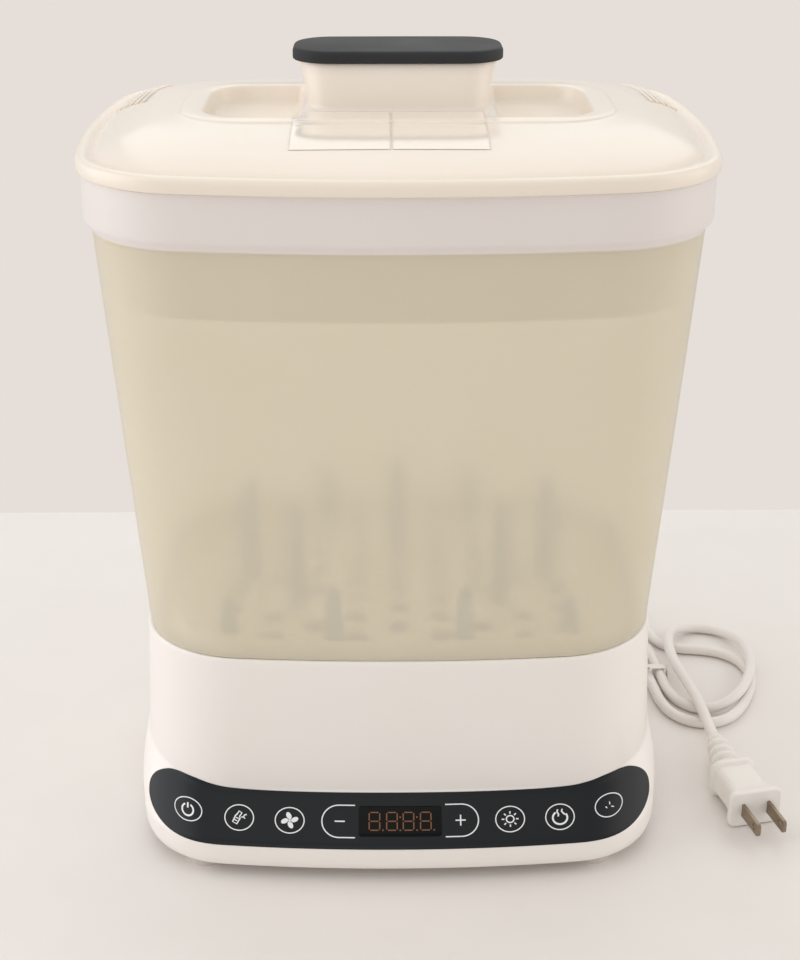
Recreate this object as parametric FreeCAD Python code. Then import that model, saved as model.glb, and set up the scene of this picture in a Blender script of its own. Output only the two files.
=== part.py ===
"""Electric steam steriliser and dryer for baby bottles: heated base, tub, bottle rack, tray and lid.

Millimetres, +Z up, the front towards -Y. The origin is on the surface that the feet stand on,
under the middle of the base's upper wall. Each piece is written to parts/NAME.step.
"""
import FreeCAD, Part
import math
import os
from collections import namedtuple

V = FreeCAD.Vector
UP = V(0, 0, 1)
DOWN = V(0, 0, -1)
ALONG_X = V(1, 0, 0)
ALONG_Y = V(0, 1, 0)
SIDES = (-1, 1)

# A plan is a rounded rectangle whose four sides bow outwards: its reach to each side from the
# middle, the radius of its front and back corners, and how far the sides and the two ends bow.
Plan = namedtuple("Plan", "half_width front back corner back_corner side_bow end_bow")

# ---------------------------------------------------------------- driving sizes: walls and fits
WALL = 2.6                     # the base's moulded wall
TUB_WALL = 2.3
LID_WALL = 2.4
TRAY_WALL = 1.8
DECK_THICK = 3.0
COVER_THICK = 2.5
PANEL_THICK = 1.5
PANEL_GAP = 0.2
BOARD_THICK = 1.6
SNUG = 0.3                     # between pieces that are fixed together
LOOSE = 0.6                    # between pieces that lift apart
SHAFT_GAP = 0.1
TUB_GAP = 4.0                  # between the rack and the tub's foot
TRAY_GAP = 1.6                 # between the tray's wall and the tub's
SCREW_R = 1.5
SCREW_LONG = 12.0
SCREW_HEAD_R = 3.0
SCREW_HEAD_TALL = 2.0

# ---------------------------------------------------------------- driving sizes: heights
FOOT_TALL = 6.0                # clear height under the base
LIP_TALL = 12.0                # the upright lip below the sloping control panel
PANEL_RISE = 16.0              # the slope, up to the upright wall
FLARE_RISE = 22.0              # from the top of the slope to where the flare has died out
WALL_RISE = 35.0               # from there to the deck that the tub and the rack stand on
RIM_STAND = 9.2                # the base's rim above its deck, round the tub's foot
TUB_TALL = 199.0               # from the deck to the shoulder, where the tub steps out to its collar
SHOULDER_TALL = 4.0            # the slanting step itself
LEDGE_TALL = 3.0               # from the shoulder to the ledge inside, where the tray hangs
COLLAR_TALL = 20.0
TRAY_DEEP = 36.0               # from the ledge down to the tray's underside
BEAD_TALL = 6.5                # the bead round the lid's edge
BEAD_STEP = 1.5                # the bead above the crown's edge
DOME_RISE = 10.5
RING_TALL = 1.0                # the flat ring round the two finger pits
PIT_DEEP = 8.0
GRIP_TALL = 18.8
CAP_THICK = 5.2

LIP_TOP = FOOT_TALL + LIP_TALL
PANEL_TOP = LIP_TOP + PANEL_RISE
SKIRT_TOP = PANEL_TOP + FLARE_RISE
DECK_TOP = SKIRT_TOP + WALL_RISE
RIM_TOP = DECK_TOP + RIM_STAND
SHOULDER = DECK_TOP + TUB_TALL
NECK = SHOULDER - SHOULDER_TALL
LEDGE = SHOULDER + LEDGE_TALL
TRAY_FLOOR = LEDGE - TRAY_DEEP
COLLAR_TOP = SHOULDER + COLLAR_TALL
BEAD_TOP = COLLAR_TOP + BEAD_TALL
DOME_FOOT = BEAD_TOP - BEAD_STEP
DOME_TOP = DOME_FOOT + DOME_RISE
RING_TOP = DOME_TOP + RING_TALL
CAP_FOOT = RING_TOP + GRIP_TALL
CAP_TOP = CAP_FOOT + CAP_THICK
COVER_TOP = FOOT_TALL + COVER_THICK
DECK_LOW = DECK_TOP - DECK_THICK

# ---------------------------------------------------------------- driving sizes: outlines
RIM_HALF_WIDTH = 116.1
RIM_HALF_DEPTH = 92.0
RIM_CORNER = 47.0
RIM_BOWS = (4.0, 7.9)          # of the two sides, of the front and back
FOOT_SPREAD = 4.1              # how much wider the base's wall is at its foot than at its rim
PANEL_RUN = 20.8               # how far the panel's slope stands out at its foot
LIP_OUT = (4.3, 4.0)           # the lip outside the rim, at the sides and at the back
LIP_CORNERS = (44.0, 46.0)     # front, back
LIP_END_BOW = 9.6
LIP_TUCK = 1.6                 # the lip's lower edge, inside its upper one
FLARE = 1.4                    # the skirt's widest line, outside the lip
FLARE_SINK = 4.4               # how far its last line lies inside the lip
FLARE_CORNER = 34.0            # the radius that its front corners tighten to
BACK_LEAN = 0.25               # the skirt's back leans in this much for each millimetre that it rises
COLLAR_HALF_WIDTH = 132.2
COLLAR_HALF_DEPTH = 108.4
COLLAR_CORNER = 50.0
COLLAR_BOWS = (8.0, 12.0)
COLLAR_STEP = 3.0              # how far the collar stands outside the tub's wall
LID_OVER = 2.4                 # the lid's edge outside the collar at the sides
LID_OVER_ENDS = (3.0, 4.4)     # at the front, at the back
LID_CORNER_MORE = 2.0
DOME_INSET = 6.5               # the crown's edge inside the lid's
PIT_HALF_WIDTH = 82.3
PIT_HALF_DEPTH = 37.4
PIT_CORNER = 19.0
PIT_TAPER = 3.5                # the pit's floor inside its mouth
RING_WIDE = 10.5
GRIP_HALF_WIDTH = 38.8         # at its foot
GRIP_HALF_DEPTH = 25.0
GRIP_CORNER = 12.0
GRIP_FILLET = 2.2              # round the grip's foot
GRIP_TOP_SPREAD = (3.6, -4.4)  # the grip's top outside its foot, sideways and endways
GRIP_TOP_CORNER = 15.0
CAP_OVER = (1.6, 2.0)          # the cap outside the grip's top
CAP_ROUND = 1.0

RIM = Plan(RIM_HALF_WIDTH, RIM_HALF_DEPTH, RIM_HALF_DEPTH, RIM_CORNER, RIM_CORNER, *RIM_BOWS)
FOOT = RIM._replace(half_width=RIM.half_width + FOOT_SPREAD)
LIP = Plan(RIM.half_width + LIP_OUT[0], RIM.front + PANEL_RUN, RIM.back + LIP_OUT[1], *LIP_CORNERS,
           RIM.side_bow, LIP_END_BOW)
COLLAR = Plan(COLLAR_HALF_WIDTH, COLLAR_HALF_DEPTH, COLLAR_HALF_DEPTH, COLLAR_CORNER,
              COLLAR_CORNER, *COLLAR_BOWS)
LID = Plan(COLLAR.half_width + LID_OVER, COLLAR.front + LID_OVER_ENDS[0],
           COLLAR.back + LID_OVER_ENDS[1], COLLAR.corner + LID_CORNER_MORE,
           COLLAR.back_corner + LID_CORNER_MORE, COLLAR.side_bow + 2, COLLAR.end_bow + 2)
PIT = Plan(PIT_HALF_WIDTH, PIT_HALF_DEPTH, PIT_HALF_DEPTH, PIT_CORNER, PIT_CORNER, 1.0, 1.5)
GRIP_FOOT = Plan(GRIP_HALF_WIDTH, GRIP_HALF_DEPTH, GRIP_HALF_DEPTH, GRIP_CORNER, GRIP_CORNER, 0.3, 0.6)
GRIP_TOP = Plan(GRIP_FOOT.half_width + GRIP_TOP_SPREAD[0], GRIP_FOOT.front + GRIP_TOP_SPREAD[1],
                GRIP_FOOT.back + GRIP_TOP_SPREAD[1], GRIP_TOP_CORNER, GRIP_TOP_CORNER, 0.3, 0.6)
CAP = Plan(GRIP_TOP.half_width + CAP_OVER[0], GRIP_TOP.front + CAP_OVER[1],
           GRIP_TOP.back + CAP_OVER[1], GRIP_TOP.corner + CAP_OVER[0],
           GRIP_TOP.back_corner + CAP_OVER[0], 0.3, 0.6)

# ---------------------------------------------------------------- driving sizes: control panel
PANEL_END = 114.2              # the panel's reach round the corners
PANEL_LOW_HALF = 98.0          # half its straight lower edge
PANEL_HORN_HALF = 100.5        # where its upper edge is highest, and by how much
PANEL_HORN_UP = 3.2
PANEL_MARGIN = 0.6             # bare skirt between the panel and the upright wall
WINDOW_WIDE = 37.0
WINDOW_TALL = 13.9
WINDOW_ROUND = 1.5
WINDOW_LEDGE = 2.0             # the housing behind the window's edge
DISPLAY_GAP = 1.2              # behind the panel
DISPLAY_DEEP = 6.0
DISPLAY_INSET = 2.5
TOUCH_HALF = 74.0
TOUCH_TALL = 16.0
CHIP_X, CHIP_SIZE = 30.0, (12.0, 8.0, 2.0)         # on the touch board's back
TOUCH_PLUG_X, TOUCH_PLUG_SIZE = -44.0, (12.0, 6.0, 6.0)

# ---------------------------------------------------------------- driving sizes: inside the base
POST_INSET, POST_Y, POST_R = 15.1, 30.0, 4.5
FEET_X, FEET_FRONT, FEET_BACK, FEET_R = 88.5, -91.5, 66.0, 9.0
FEET_TAPER = 0.8
SOCKET_R, SOCKET_DEEP = 7.0, 1.2
VENT_X, VENT_LONG, VENT_ROWS, VENT_PITCH, VENT_WIDE = -40.0, 32.0, 7, 8.0, 3.0
DISH_X, DISH_Y, DISH_R, DISH_DEEP = 24.0, 6.0, 49.0, 8.0
DISH_FLANGE_WIDE, DISH_THICK = 5.0, 1.2
DISH_RIBS = (20.0, 34.0)
RIB_WIDE, RIB_TALL = 0.8, 0.6
SEAL_THICK = 1.0
ELEMENT_R, ELEMENT_PIPE_R, ELEMENT_ENDS = 36.0, 4.0, 16.0
CLAMP_HALF, CLAMP_THICK = 5.0, 1.0
THERMOSTAT_R, THERMOSTAT_TALL, TAB_LONG = 8.0, 7.0, 7.0
FUSE_R, FUSE_LONG, FUSE_OFF_X, FUSE_OFF_Y = 3.0, 22.0, -11.0, 16.0
FAN_Y, FAN_R, FAN_TALL, FAN_WALL = 32.0, 33.0, 28.0, 1.8
FAN_OVERHANG = 1.0             # how far the round case stands outside its straight outlet
FAN_CLEAR = 13.5               # between the fan's case and the bottom cover
FAN_EYE_R = 20.0
FAN_MOUTH = -18.0              # where the case's outlet ends
WHEEL_R, WHEEL_TALL, BLADES, BLADE_LEAN = 28.0, 18.0, 24, 28.0
WHEEL_CLEAR = 2.0
SHAFT_R, HUB_R = 1.5, 6.0
MOTOR_R, MOTOR_TALL, MOTOR_FLANGE = 13.0, 12.0, 4.0
DUCT_OFF_POST, DUCT_WIDE, DUCT_BACK, DUCT_DEEP = 2.5, 28.0, -38.0, 24.0
HEATER_BACK, HEATER_DEEP, FINS = -20.0, 16.0, 5
FILTER_X, FILTER_WIDE, FILTER_UP, FILTER_TALL = -45.0, 60.0, 34.0, 34.0
FILTER_DEEP, FOAM_THICK, FRAME_WALL = 16.0, 6.0, 2.0
LOUVRES = 5
UV_X, UV_Y, UV_R, UV_BOARD_DROP = 88.0, 14.0, 7.0, 4.0
GLAND_X, GLAND_Z, GLAND_R = 55.0, 24.0, 6.5
POWER_X, POWER_Y, POWER_WIDE, POWER_DEEP, STAND_TALL = 4.0, -62.0, 78.0, 58.0, 6.5
STAND_R, STAND_INSET = 2.5, 5.0
CORE_PLACE, CORE_SIZE = (8.0, 10.0), (24.0, 20.0, 20.0)                # of the transformer
COIL_PLACE, COIL_SIZE, COIL_LIFT = (11.0, 7.0), (18.0, 26.0, 12.0), 4.0
RELAY_X, RELAY_YS, RELAY_SIZE = 42.0, (8.0, 28.0), (18.0, 14.0, 16.0)
CAPACITOR_PLACES = ((68.0, 16.0), (68.0, 32.0), (16.0, 46.0))
CAPACITOR_SIZES = ((5.0, 14.0), (4.0, 11.0), (5.0, 14.0))              # radius and height of each

# ---------------------------------------------------------------- driving sizes: rack and tray
RACK_UP, RACK_THICK, RACK_RIM_TALL, RACK_RIM_WALL = 6.5, 2.5, 5.0, 2.0
FOOT_LEDGE_WIDE, FOOT_LEDGE_TALL = 8.0, 2.5        # inside the tub's foot, under the rack
RACK_HOLE_R, RACK_PITCH = 5.5, 19.0
PEG_FOOT_R, PEG_TOP_R = 4.6, 3.0
PEG_TALL, PEG_MID, PEG_SHORT = 50.0, 28.0, 16.0
PEG_MIDDLE = (0.0, 19.0)
PEG_PAIRS = ((70.0, -5.0), (47.0, -33.0), (29.0, -74.0), (77.0, -60.0), (36.0, 62.0), (80.0, 48.0))
PEG_HEIGHTS = (PEG_TALL, PEG_TALL, PEG_MID, PEG_SHORT, PEG_MID, PEG_SHORT)     # of each pair
PEG_PLACES = ([(*PEG_MIDDLE, PEG_TALL)]
              + [(s * x, y, tall) for s in SIDES for (x, y), tall in zip(PEG_PAIRS, PEG_HEIGHTS)])
FLANGE_THICK = 2.0
TRAY_SLOTS, TRAY_SLOT_WIDE, TRAY_SLOT_PITCH, TRAY_SLOT_LONG, TRAY_SPINE = 15, 5.0, 13.0, 68.0, 6.0

# ---------------------------------------------------------------- driving sizes: lid
LOCATING_DEEP, LOCATING_THICK, LOCATING_GAP = 7.0, 2.0, 2.0
LID_SEAL_TALL, LID_SEAL_GAP = 3.0, 0.5
STEAM_SLOTS, STEAM_SLOT_WIDE, STEAM_SLOT_PITCH = 5, 1.3, 2.9
STEAM_INSET, STEAM_FROM, STEAM_TO = 9.0, 22.0, 72.0
GRIP_SCREW_X = 24.0

# ---------------------------------------------------------------- driving sizes: cord and plug
CORD_D = 5.6
RELIEF_LONG = 22.0             # the tapered tail at the base
RELIEF_WALL = 0.8              # round the cord, at the thin end of either tail
PLUG_OUT, PLUG_AHEAD, PLUG_Z = 46.6, 166.3, 9.6     # from the base's side, and forward of its back
PLUG_YAW, RELIEF_YAW = 13.0, 3.0
PLUG_LONG, PLUG_FACE_LONG, PLUG_NECK_AT = 26.0, 3.0, 12.0
PLUG_COLLAR_LONG, PLUG_RELIEF = 3.5, 33.0
PLUG_FACE = (12.2, 8.6, 3.2)   # half width, half height, corner
PLUG_WAIST = (9.4, 7.6, 3.6)
PLUG_COLLAR = (11.0, 9.4, 5.0)
PLUG_RELIEF_R = 7.4
RIBS, RIB_START, RIB_PITCH, RIB_LONG, RIB_R, RIB_TAPER = 3, 8.0, 7.4, 4.0, 7.6, 0.9
BLADE_PITCH, BLADE_TALL, BLADE_THICK, BLADE_LONG = 12.7, 6.3, 1.5, 18.0
BLADE_HOLE_R, BLADE_HOLE_IN = 1.6, 4.2
TIE_OUT, TIE_AHEAD, TIE_WIDE, TIE_LONG, TIE_THICK = 18.9, 26.5, 17.0, 5.0, 0.7
TIE_CORD_Z = 3.9               # the strands' middle height where the band passes under them


# ---------------------------------------------------------------- outlines and solids
def shrink(plan, sides, ends=None):
    """The plan drawn in by a wall at its sides and at its front and back."""
    ends = sides if ends is None else ends
    corner, back_corner = max(plan.corner - sides, 2.0), max(plan.back_corner - sides, 2.0)
    return plan._replace(half_width=plan.half_width - sides, front=plan.front - ends,
                         back=plan.back - ends, corner=corner, back_corner=back_corner)


def between(low, high, share):
    """The plan that lies a share of the way from one plan to another."""
    return Plan(*(a + (b - a) * share for a, b in zip(low, high)))


def corner_centre(first, first_r, second, second_r, near):
    """The centre of an arc that touches two large arcs from inside, by the corner named."""
    gap = second - first
    along = (first_r ** 2 - second_r ** 2 + gap.Length ** 2) / (2 * gap.Length)
    unit = V(gap).normalize()
    aside = math.sqrt(first_r ** 2 - along ** 2)
    middle = first + unit * along
    turned = V(-unit.y, unit.x, 0)
    return min((middle + turned * aside, middle - turned * aside), key=lambda p: (p - near).Length)


def on_arc(centre, radius, towards):
    """The point of an arc that lies towards another point."""
    return centre + (towards - centre).normalize() * radius


def mirror(point):
    """The same point on the other side."""
    return V(-point.x, point.y, point.z)


def outline(plan, z):
    """The plan's closed outline at a height: four bowed sides and four corner arcs."""
    x, front, back = plan.half_width - plan.side_bow, plan.front - plan.end_bow, plan.back - plan.end_bow
    half, middle = (front + back) / 2, (back - front) / 2
    side_r = (half ** 2 + plan.side_bow ** 2) / (2 * plan.side_bow)
    end_r = (x ** 2 + plan.end_bow ** 2) / (2 * plan.end_bow)
    side_c = V(plan.half_width - side_r, middle, 0)
    front_c, back_c = V(0, end_r - plan.front, 0), V(0, plan.back - end_r, 0)
    low_r, high_r = plan.corner, plan.back_corner
    low = corner_centre(side_c, side_r - low_r, front_c, end_r - low_r, V(x, -front, 0))
    high = corner_centre(side_c, side_r - high_r, back_c, end_r - high_r, V(x, back, 0))
    side_low, side_high = on_arc(low, -low_r, side_c), on_arc(high, -high_r, side_c)
    front_end, back_end = on_arc(low, -low_r, front_c), on_arc(high, -high_r, back_c)
    low_bend = on_arc(low, low_r, (front_end + side_low) / 2)
    high_bend = on_arc(high, high_r, (side_high + back_end) / 2)
    arcs = [(side_low, V(plan.half_width, middle, 0), side_high),
            (side_high, high_bend, back_end),
            (back_end, V(0, plan.back, 0), mirror(back_end)),
            (mirror(back_end), mirror(high_bend), mirror(side_high)),
            (mirror(side_high), V(-plan.half_width, middle, 0), mirror(side_low)),
            (mirror(side_low), mirror(low_bend), mirror(front_end)),
            (mirror(front_end), V(0, -plan.front, 0), front_end),
            (front_end, low_bend, side_low)]
    lift = V(0, 0, z)
    return Part.Wire([Part.Arc(*(p + lift for p in arc)).toShape() for arc in arcs])


def slab(plan, low, high):
    """A straight-sided solid between two heights."""
    return Part.Face(outline(plan, low)).extrude(V(0, 0, high - low))


def loft(stations, smooth=False):
    """A solid through (height, plan) stations, with straight or smoothly curved sides."""
    return Part.makeLoft([outline(plan, z) for z, plan in stations], True, not smooth)


def box(low, high):
    """A box between two corners."""
    low, high = V(*low), V(*high)
    size = high - low
    return Part.makeBox(size.x, size.y, size.z, low)


def rod(radius, length, start, along=UP):
    """A round bar from a point."""
    return Part.makeCylinder(radius, length, V(*start), along)


def pipe(outer, inner, length, start, along=UP):
    """A round bar with a bore."""
    return rod(outer, length, start, along).cut(rod(inner, length, start, along))


def edges_along(shape, axis):
    """The straight edges that run along one axis: 0, 1 or 2."""
    def runs(edge):
        ends = [vertex.Point for vertex in edge.Vertexes]
        return len(ends) == 2 and all(abs(ends[0][i] - ends[1][i]) < 1e-6 for i in range(3) if i != axis)
    return [edge for edge in shape.Edges if runs(edge)]


def soft_box(low, high, radius):
    """A box whose upright edges are rounded."""
    block = box(low, high)
    return block.makeFillet(radius, edges_along(block, 2))


def join(first, *rest):
    """One solid out of pieces that touch or cross."""
    return first.fuse(list(rest)).removeSplitter() if rest else first


def write(name, shape):
    """Writes one piece."""
    shape.exportStep(f"parts/{name}.step")
    print(f"{name}: {len(shape.Solids)} solids, {shape.Volume / 1000:.2f} cm3, valid {shape.isValid()}")


# ---------------------------------------------------------------- the base's shapes
SLOPE_TILT = math.degrees(math.atan2(PANEL_RISE, PANEL_RUN))
SLOPE_STRETCH = math.hypot(PANEL_RUN, PANEL_RISE) / PANEL_RISE
SLOPE_MIDDLE = V(0, -(LIP.front + RIM.front) / 2, (LIP_TOP + PANEL_TOP) / 2)
LIP_BEND = [(0.0, 1.0), (0.3, 0.3), (0.7, 0.06)]       # share of the lip's height, of its tuck


def wall_plan(z):
    """The base's upright wall at a height."""
    return between(FOOT, RIM, (z - FOOT_TALL) / (RIM_TOP - FOOT_TALL))


def skirt_plan(z, flare, corner):
    """The skirt above its lip: the front runs back at the panel's slope, the sides flare."""
    rise = z - LIP_TOP
    return LIP._replace(half_width=LIP.half_width + flare, front=LIP.front - rise * PANEL_RUN / PANEL_RISE,
                        back=LIP.back - rise * BACK_LEAN, corner=corner,
                        back_corner=LIP.back_corner + 0.2 * rise)


def skirt(inset=0.0):
    """The skirt as a solid, or the same skirt drawn in by a wall's thickness."""
    slope = inset * SLOPE_STRETCH
    low = [(FOOT_TALL + up * LIP_TALL, shrink(LIP, LIP_TUCK * tuck + inset)) for up, tuck in LIP_BEND]
    low.append((LIP_TOP, shrink(LIP, inset, slope)))
    tighter = LIP.corner - FLARE_CORNER
    flares = [((LIP_TOP + PANEL_TOP) / 2, FLARE, LIP.corner),
              (PANEL_TOP + 4.0, 0.4 * FLARE, LIP.corner - 0.4 * tighter),
              (SKIRT_TOP, -FLARE_SINK, FLARE_CORNER)]
    high = [(z, shrink(skirt_plan(z, flare, corner), inset, slope)) for z, flare, corner in flares]
    return join(loft(low, smooth=True), loft(low[-1:] + high, smooth=True))


def upright_wall(inset=0.0):
    """The base's upright wall as a solid, or drawn in by a wall's thickness."""
    return loft([(z, shrink(wall_plan(z), inset)) for z in (LIP_TOP, RIM_TOP)])


def on_slope(shape):
    """Moves a piece drawn flat (X across, Y up the slope, Z outwards) onto the panel's middle."""
    placed = shape.copy()
    placed.rotate(V(0, 0, 0), ALONG_X, SLOPE_TILT)
    placed.translate(SLOPE_MIDDLE)
    return placed


def rear_y(plan, x):
    """The back of a plan beside its middle line."""
    return plan.back - plan.end_bow * (x / (plan.half_width - plan.side_bow)) ** 2


# ---------------------------------------------------------------- control panel
def panel_prism(gap):
    """The panel's outline seen from the front, as a bar along Y, grown by a gap."""
    low, horn = LIP_TOP + 0.3 - gap, PANEL_TOP + PANEL_HORN_UP + gap
    middle, end = PANEL_TOP - PANEL_MARGIN + gap, PANEL_END + gap
    bend = (low + horn) / 2 - PANEL_MARGIN

    def at(x, z):
        return V(x, -LIP.front - 20, z)

    foot, peak = PANEL_LOW_HALF, PANEL_HORN_HALF
    edges = [Part.makeLine(at(-foot, low), at(foot, low)),
             Part.Arc(at(foot, low), at(end, bend), at(peak, horn)).toShape(),
             Part.Arc(at(peak, horn), at(0, middle), at(-peak, horn)).toShape(),
             Part.Arc(at(-peak, horn), at(-end, bend), at(-foot, low)).toShape()]
    return Part.Face(Part.Wire(edges)).extrude(ALONG_Y * RIM_HALF_DEPTH)


def window(gap):
    """The display window as a block through the panel, grown by a gap."""
    wide, tall, deep = WINDOW_WIDE / 2 + gap, WINDOW_TALL / 2 + gap, 12
    return on_slope(soft_box((-wide, -tall, -deep), (wide, tall, deep), max(WINDOW_ROUND + gap, 0.5)))


def behind_panel(half_wide, half_tall, near, far):
    """A box behind the panel, between two depths."""
    return on_slope(box((-half_wide, -half_tall, -far), (half_wide, half_tall, -near)))


DISPLAY_AT = PANEL_THICK + PANEL_GAP + DISPLAY_GAP
TOUCH_AT = DISPLAY_AT + DISPLAY_DEEP
PANEL_LAYER = skirt().cut(skirt(PANEL_THICK))
PANEL_POCKET = skirt().cut(skirt(PANEL_THICK + PANEL_GAP)).common(panel_prism(PANEL_GAP))


def control_panel():
    """Touch panel film with its carrier, wrapped round the front of the skirt."""
    return PANEL_LAYER.common(panel_prism(0)).cut(window(PANEL_GAP))


def display_lens():
    """Smoked window over the display, flush with the panel."""
    return PANEL_LAYER.common(window(0))


def display_module():
    """Four-digit display behind the window."""
    half_wide, half_tall = WINDOW_WIDE / 2 - DISPLAY_INSET, WINDOW_TALL / 2 - DISPLAY_INSET
    return behind_panel(half_wide, half_tall, DISPLAY_AT, TOUCH_AT)


def touch_board():
    """Circuit board with the touch pads' chip and plug, behind the panel."""
    back = TOUCH_AT + BOARD_THICK
    board = behind_panel(TOUCH_HALF, TOUCH_TALL / 2, TOUCH_AT, back)
    blocks = []
    for x, (wide, deep, tall) in ((CHIP_X, CHIP_SIZE), (TOUCH_PLUG_X, TOUCH_PLUG_SIZE)):
        blocks.append(on_slope(box((x, -deep / 2, -back - tall), (x + wide, deep / 2, -back))))
    return join(board, *blocks)


# ---------------------------------------------------------------- base housing, deck, cover, feet
POST_X = RIM.half_width - POST_INSET
POSTS = [(x, y) for x in (-POST_X, POST_X) for y in (-POST_Y, POST_Y)]
FEET = [(x, y) for x in (-FEET_X, FEET_X) for y in (FEET_FRONT, FEET_BACK)]
DUCT_X = -POST_X + POST_R + DUCT_OFF_POST
DUCT_MIDDLE = DUCT_X + DUCT_WIDE / 2
FAN_X = DUCT_X + FAN_R - FAN_OVERHANG
FILTER_FRONT = RIM.back - FILTER_DEEP
FILTER_LOW = FOOT_TALL + FILTER_UP
FILTER_HIGH = FILTER_LOW + FILTER_TALL
GLAND_Y = rear_y(LIP, GLAND_X)


def rear_prism(gap):
    """The filter door's outline as a bar through the rear wall."""
    half = FILTER_WIDE / 2 + gap
    low = (FILTER_X - half, RIM.back - 20, FILTER_LOW - gap)
    return box(low, (FILTER_X + half, RIM.back + 20, FILTER_HIGH + gap))


def base_housing():
    """Outer shell: upright wall, flared skirt and lip in one moulding, open below."""
    outer = join(upright_wall(), skirt())
    cavity = join(upright_wall(WALL), skirt(WALL))
    shell = outer.cut(cavity).cut(PANEL_POCKET)
    shell = shell.cut(window(-WINDOW_LEDGE)).cut(rear_prism(SNUG))
    return shell.cut(rod(GLAND_R + SNUG, 40, (GLAND_X, GLAND_Y - 20, GLAND_Z), ALONG_Y))


def duct_box(inset, low, high):
    """The warm air duct's upright shaft, or its bore, between two heights."""
    return box((DUCT_X + inset, DUCT_BACK - DUCT_DEEP + inset, low),
               (DUCT_X + DUCT_WIDE - inset, DUCT_BACK - inset, high))


def inner_deck():
    """Deck that closes the base's top, with openings for the dish, the warm air and the lamp."""
    deck = slab(shrink(wall_plan(DECK_TOP), WALL + SNUG), DECK_LOW, DECK_TOP)
    deck = deck.cut(rod(DISH_R + SNUG, 2 * DECK_THICK, (DISH_X, DISH_Y, DECK_LOW - 1)))
    deck = deck.cut(duct_box(0, DECK_LOW - 1, DECK_TOP + 1))
    return deck.cut(rod(UV_R + SNUG, 2 * DECK_THICK, (UV_X, UV_Y, DECK_LOW - 1)))


def deck_posts():
    """Four posts between the floor and the deck, bored for the screws."""
    tall = DECK_LOW - COVER_TOP
    posts = [rod(POST_R, tall, (x, y, COVER_TOP)).cut(rod(SCREW_R, SCREW_LONG, (x, y, COVER_TOP)))
             for x, y in POSTS]
    return Part.makeCompound(posts)


def bottom_cover():
    """Floor of the base, with slots under the fan and sockets for the feet."""
    cover = slab(shrink(LIP, LIP_TUCK + WALL + SNUG), FOOT_TALL, COVER_TOP)
    for x, y in FEET:
        cover = cover.cut(rod(SOCKET_R, SOCKET_DEEP, (x, y, FOOT_TALL)))
    for x, y in POSTS:
        cover = cover.cut(rod(SCREW_R + SNUG, COVER_THICK, (x, y, FOOT_TALL)))
        cover = cover.cut(rod(SCREW_HEAD_R + SNUG, SCREW_HEAD_TALL / 2, (x, y, FOOT_TALL)))
    for row in range(VENT_ROWS):
        y = row * VENT_PITCH
        cover = cover.cut(box((VENT_X, y, FOOT_TALL), (VENT_X + VENT_LONG, y + VENT_WIDE, COVER_TOP)))
    return cover


def rubber_feet():
    """Four soft feet, pressed into the floor's sockets."""
    feet = []
    for x, y in FEET:
        pad = Part.makeCone(FEET_R - FEET_TAPER, FEET_R, FOOT_TALL, V(x, y, 0), UP)
        feet.append(join(pad, rod(SOCKET_R, SOCKET_DEEP, (x, y, FOOT_TALL))))
    return Part.makeCompound(feet)


def housing_screws():
    """Four slotted screws up through the floor into the posts."""
    low = FOOT_TALL - SCREW_HEAD_TALL / 2
    screws = []
    for x, y in POSTS:
        head = rod(SCREW_HEAD_R, SCREW_HEAD_TALL, (x, y, low))
        head = head.cut(box((x - 2, y - 0.4, low), (x + 2, y + 0.4, low + 0.8)))
        screws.append(join(head, rod(SCREW_R, SCREW_LONG, (x, y, low + SCREW_HEAD_TALL))))
    return Part.makeCompound(screws)


# ---------------------------------------------------------------- heating dish and steam parts
DISH_TOP = DECK_TOP + SEAL_THICK + DISH_THICK
DISH_FLOOR = DISH_TOP - DISH_DEEP              # inside
DISH_LOW = DISH_FLOOR - DISH_THICK             # outside


def heating_dish():
    """Pressed steel water dish with a flange, held in the deck's round opening."""
    flange = rod(DISH_R + DISH_FLANGE_WIDE, DISH_THICK, (DISH_X, DISH_Y, DISH_TOP - DISH_THICK))
    bowl = rod(DISH_R, DISH_TOP - DISH_LOW, (DISH_X, DISH_Y, DISH_LOW))
    dish = join(flange, bowl).cut(rod(DISH_R - DISH_THICK, DISH_DEEP, (DISH_X, DISH_Y, DISH_FLOOR)))
    return join(dish, *[pipe(r + RIB_WIDE, r, RIB_TALL, (DISH_X, DISH_Y, DISH_FLOOR)) for r in DISH_RIBS])


def dish_seal():
    """Flat silicone washer under the dish's flange."""
    return pipe(DISH_R + DISH_FLANGE_WIDE, DISH_R + SNUG, SEAL_THICK, (DISH_X, DISH_Y, DECK_TOP))


def heater_element():
    """Ring heater brazed under the dish, with two cold ends."""
    z = DISH_LOW - ELEMENT_PIPE_R
    ring = Part.makeTorus(ELEMENT_R, ELEMENT_PIPE_R, V(DISH_X, DISH_Y, z), UP)
    ends = [rod(0.6 * ELEMENT_PIPE_R, ELEMENT_ENDS, (DISH_X + ELEMENT_R, DISH_Y + 6 * side, z), DOWN)
            for side in SIDES]
    clamp_low = (DISH_X, DISH_Y, DISH_LOW - CLAMP_THICK)
    clamp = pipe(ELEMENT_R + CLAMP_HALF, ELEMENT_R - CLAMP_HALF, CLAMP_THICK, clamp_low)
    return join(ring, clamp, *ends)


def thermostat():
    """Snap-disc thermostat held against the middle of the dish."""
    low = DISH_LOW - THERMOSTAT_TALL
    body = rod(THERMOSTAT_R, THERMOSTAT_TALL, (DISH_X, DISH_Y, low))
    tabs = [box((DISH_X + 5 * side - 2, DISH_Y - 1, low - TAB_LONG), (DISH_X + 5 * side + 2, DISH_Y + 1, low))
            for side in SIDES]
    return join(body, *tabs)


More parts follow.
